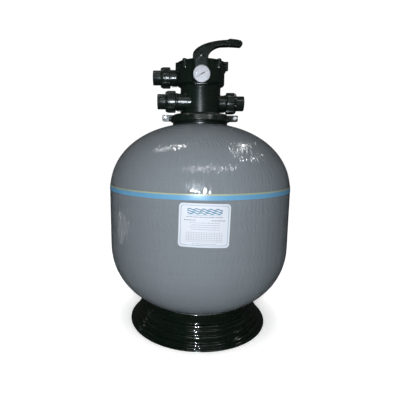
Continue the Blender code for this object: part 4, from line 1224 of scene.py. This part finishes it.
def make_floor():
    material, tree, shader = new_finish("floor_white")
    shader.inputs["Roughness"].default_value = 0.9
    shader.inputs["Specular IOR Level"].default_value = 0.1
    path = tree.nodes.new("ShaderNodeLightPath")
    # Painted darkening of the floor's reflection: the floor is pale to the eye but dark wherever a glossy piece
    # reflects it.
    pale, dark = (0.82, 0.82, 0.82), (0.05, 0.05, 0.05)
    put(tree, shader, "Base Color", mix_colour(tree, path.outputs["Is Glossy Ray"], pale, dark))
    # Painted contact shadow: the floor's glow, which only the eye sees, fades where ambient occlusion finds the
    # base close by.
    near = add_node(tree, "ShaderNodeAmbientOcclusion", {"samples": 8}, Distance=0.16)
    glow_with_painted_shadow = maths(tree, "POWER", near.outputs["AO"], 1.2)
    shader.inputs["Emission Color"].default_value = (1.0, 1.0, 1.0, 1.0)
    put(tree, shader, "Emission Strength", maths(tree, "MULTIPLY", path.outputs["Is Camera Ray"], glow_with_painted_shadow))
    shape = bmesh.new()
    bmesh.ops.create_grid(shape, x_segments=4, y_segments=4, size=14.0)
    floor = as_object("floor", shape)
    floor.data.materials.append(material)


def make_studio():
    eye = Vector((-0.0613, -1.1357, 0.5945))
    camera_data = bpy.data.cameras.new("view")
    camera_data.sensor_width = 36.0
    camera_data.lens = 29.66
    camera_data.shift_x = 0.04735
    camera_data.shift_y = -0.0046
    camera = new_object("view", camera_data)
    camera.location = eye
    tilt = Matrix.Rotation(math.radians(90 - 8.427), 3, "X")
    roll = Matrix.Rotation(math.radians(0.5), 3, "Z")
    camera.rotation_euler = (tilt @ roll).to_euler()
    bpy.context.scene.camera = camera
    bpy.context.scene.view_settings.view_transform = "Standard"
    # Lamps with diffuse off show only as highlights. Lamps with glossy off only fill.
    at_flash = eye + Vector((0, -0.02, 0.03))
    flash = add_light("flash", "RECTANGLE", at_flash, 11.0, 0.085, (0, 0, 0.45), tall=0.035, diffuse=False)
    flash.data.color = (0.84, 0.93, 1.0)
    add_light("flash_spill", "DISK", eye + Vector((0, -0.10, 0.10)), 9.4, 0.25, (0, 0, 0.50), glossy=False)
    at_floor = (-0.10, -0.95, 0.04)
    add_light("floor_bounce", "RECTANGLE", at_floor, 0.6, 1.1, (0, 0, 0.32), tall=0.5, glossy=False)
    add_light("fill_left", "DISK", (-2.0, -0.7, 1.3), 5.6, 1.2, glossy=False)
    add_light("fill_top", "DISK", (0.0, -0.5, 3.0), 12.0, 2.2, glossy=False)
    at_door, at_tank_side = (-1.17, 0.22, 0.13), (-0.26, -0.16, 0.38)
    add_light("doorway_left", "RECTANGLE", at_door, 0.14, 0.024, at_tank_side, tall=0.18, diffuse=False)
    at_window = (-0.25, -2.40, 1.20)
    above = (0, 0, 0.75)
    window = add_light("window_front", "RECTANGLE", at_window, 3.4, 0.11, above, tall=0.50, diffuse=False)
    window.data.color = (0.80, 0.91, 1.0)
    hanging = ((-0.56, -2.23, 1.2), (1.57, -1.68, 3.0), (2.29, 0.16, 5.0))
    for number, (x, y, power) in enumerate(hanging, start=1):
        name = f"hanging_lamp_{number}"
        add_light(name, "RECTANGLE", (x, y, 2.55), power, 0.12, (0, 0, 0.55), diffuse=False)
    make_tube("ceiling_tube_front", (-1.00, -2.20, 2.65), (1.60, -1.70, 2.65), 0.15, 11.0)
    make_tube("ceiling_tube_left", (-0.55, 0.00, 3.10), (-1.70, 0.35, 3.10), 0.06, 14.0)
    make_tube("ceiling_tube_right", (1.63, -0.43, 3.10), (1.77, 1.43, 3.10), 0.06, 12.0)
    make_world()
    make_floor()


dress_inner_pieces()
make_tank()
make_band()
make_label()
make_base()
make_neck()
make_clamp()
make_clamp_bolts()
make_valve_body()
make_lid()
make_lid_screws()
make_unions()
make_handle()
make_spring()
make_gauge()
make_studio()
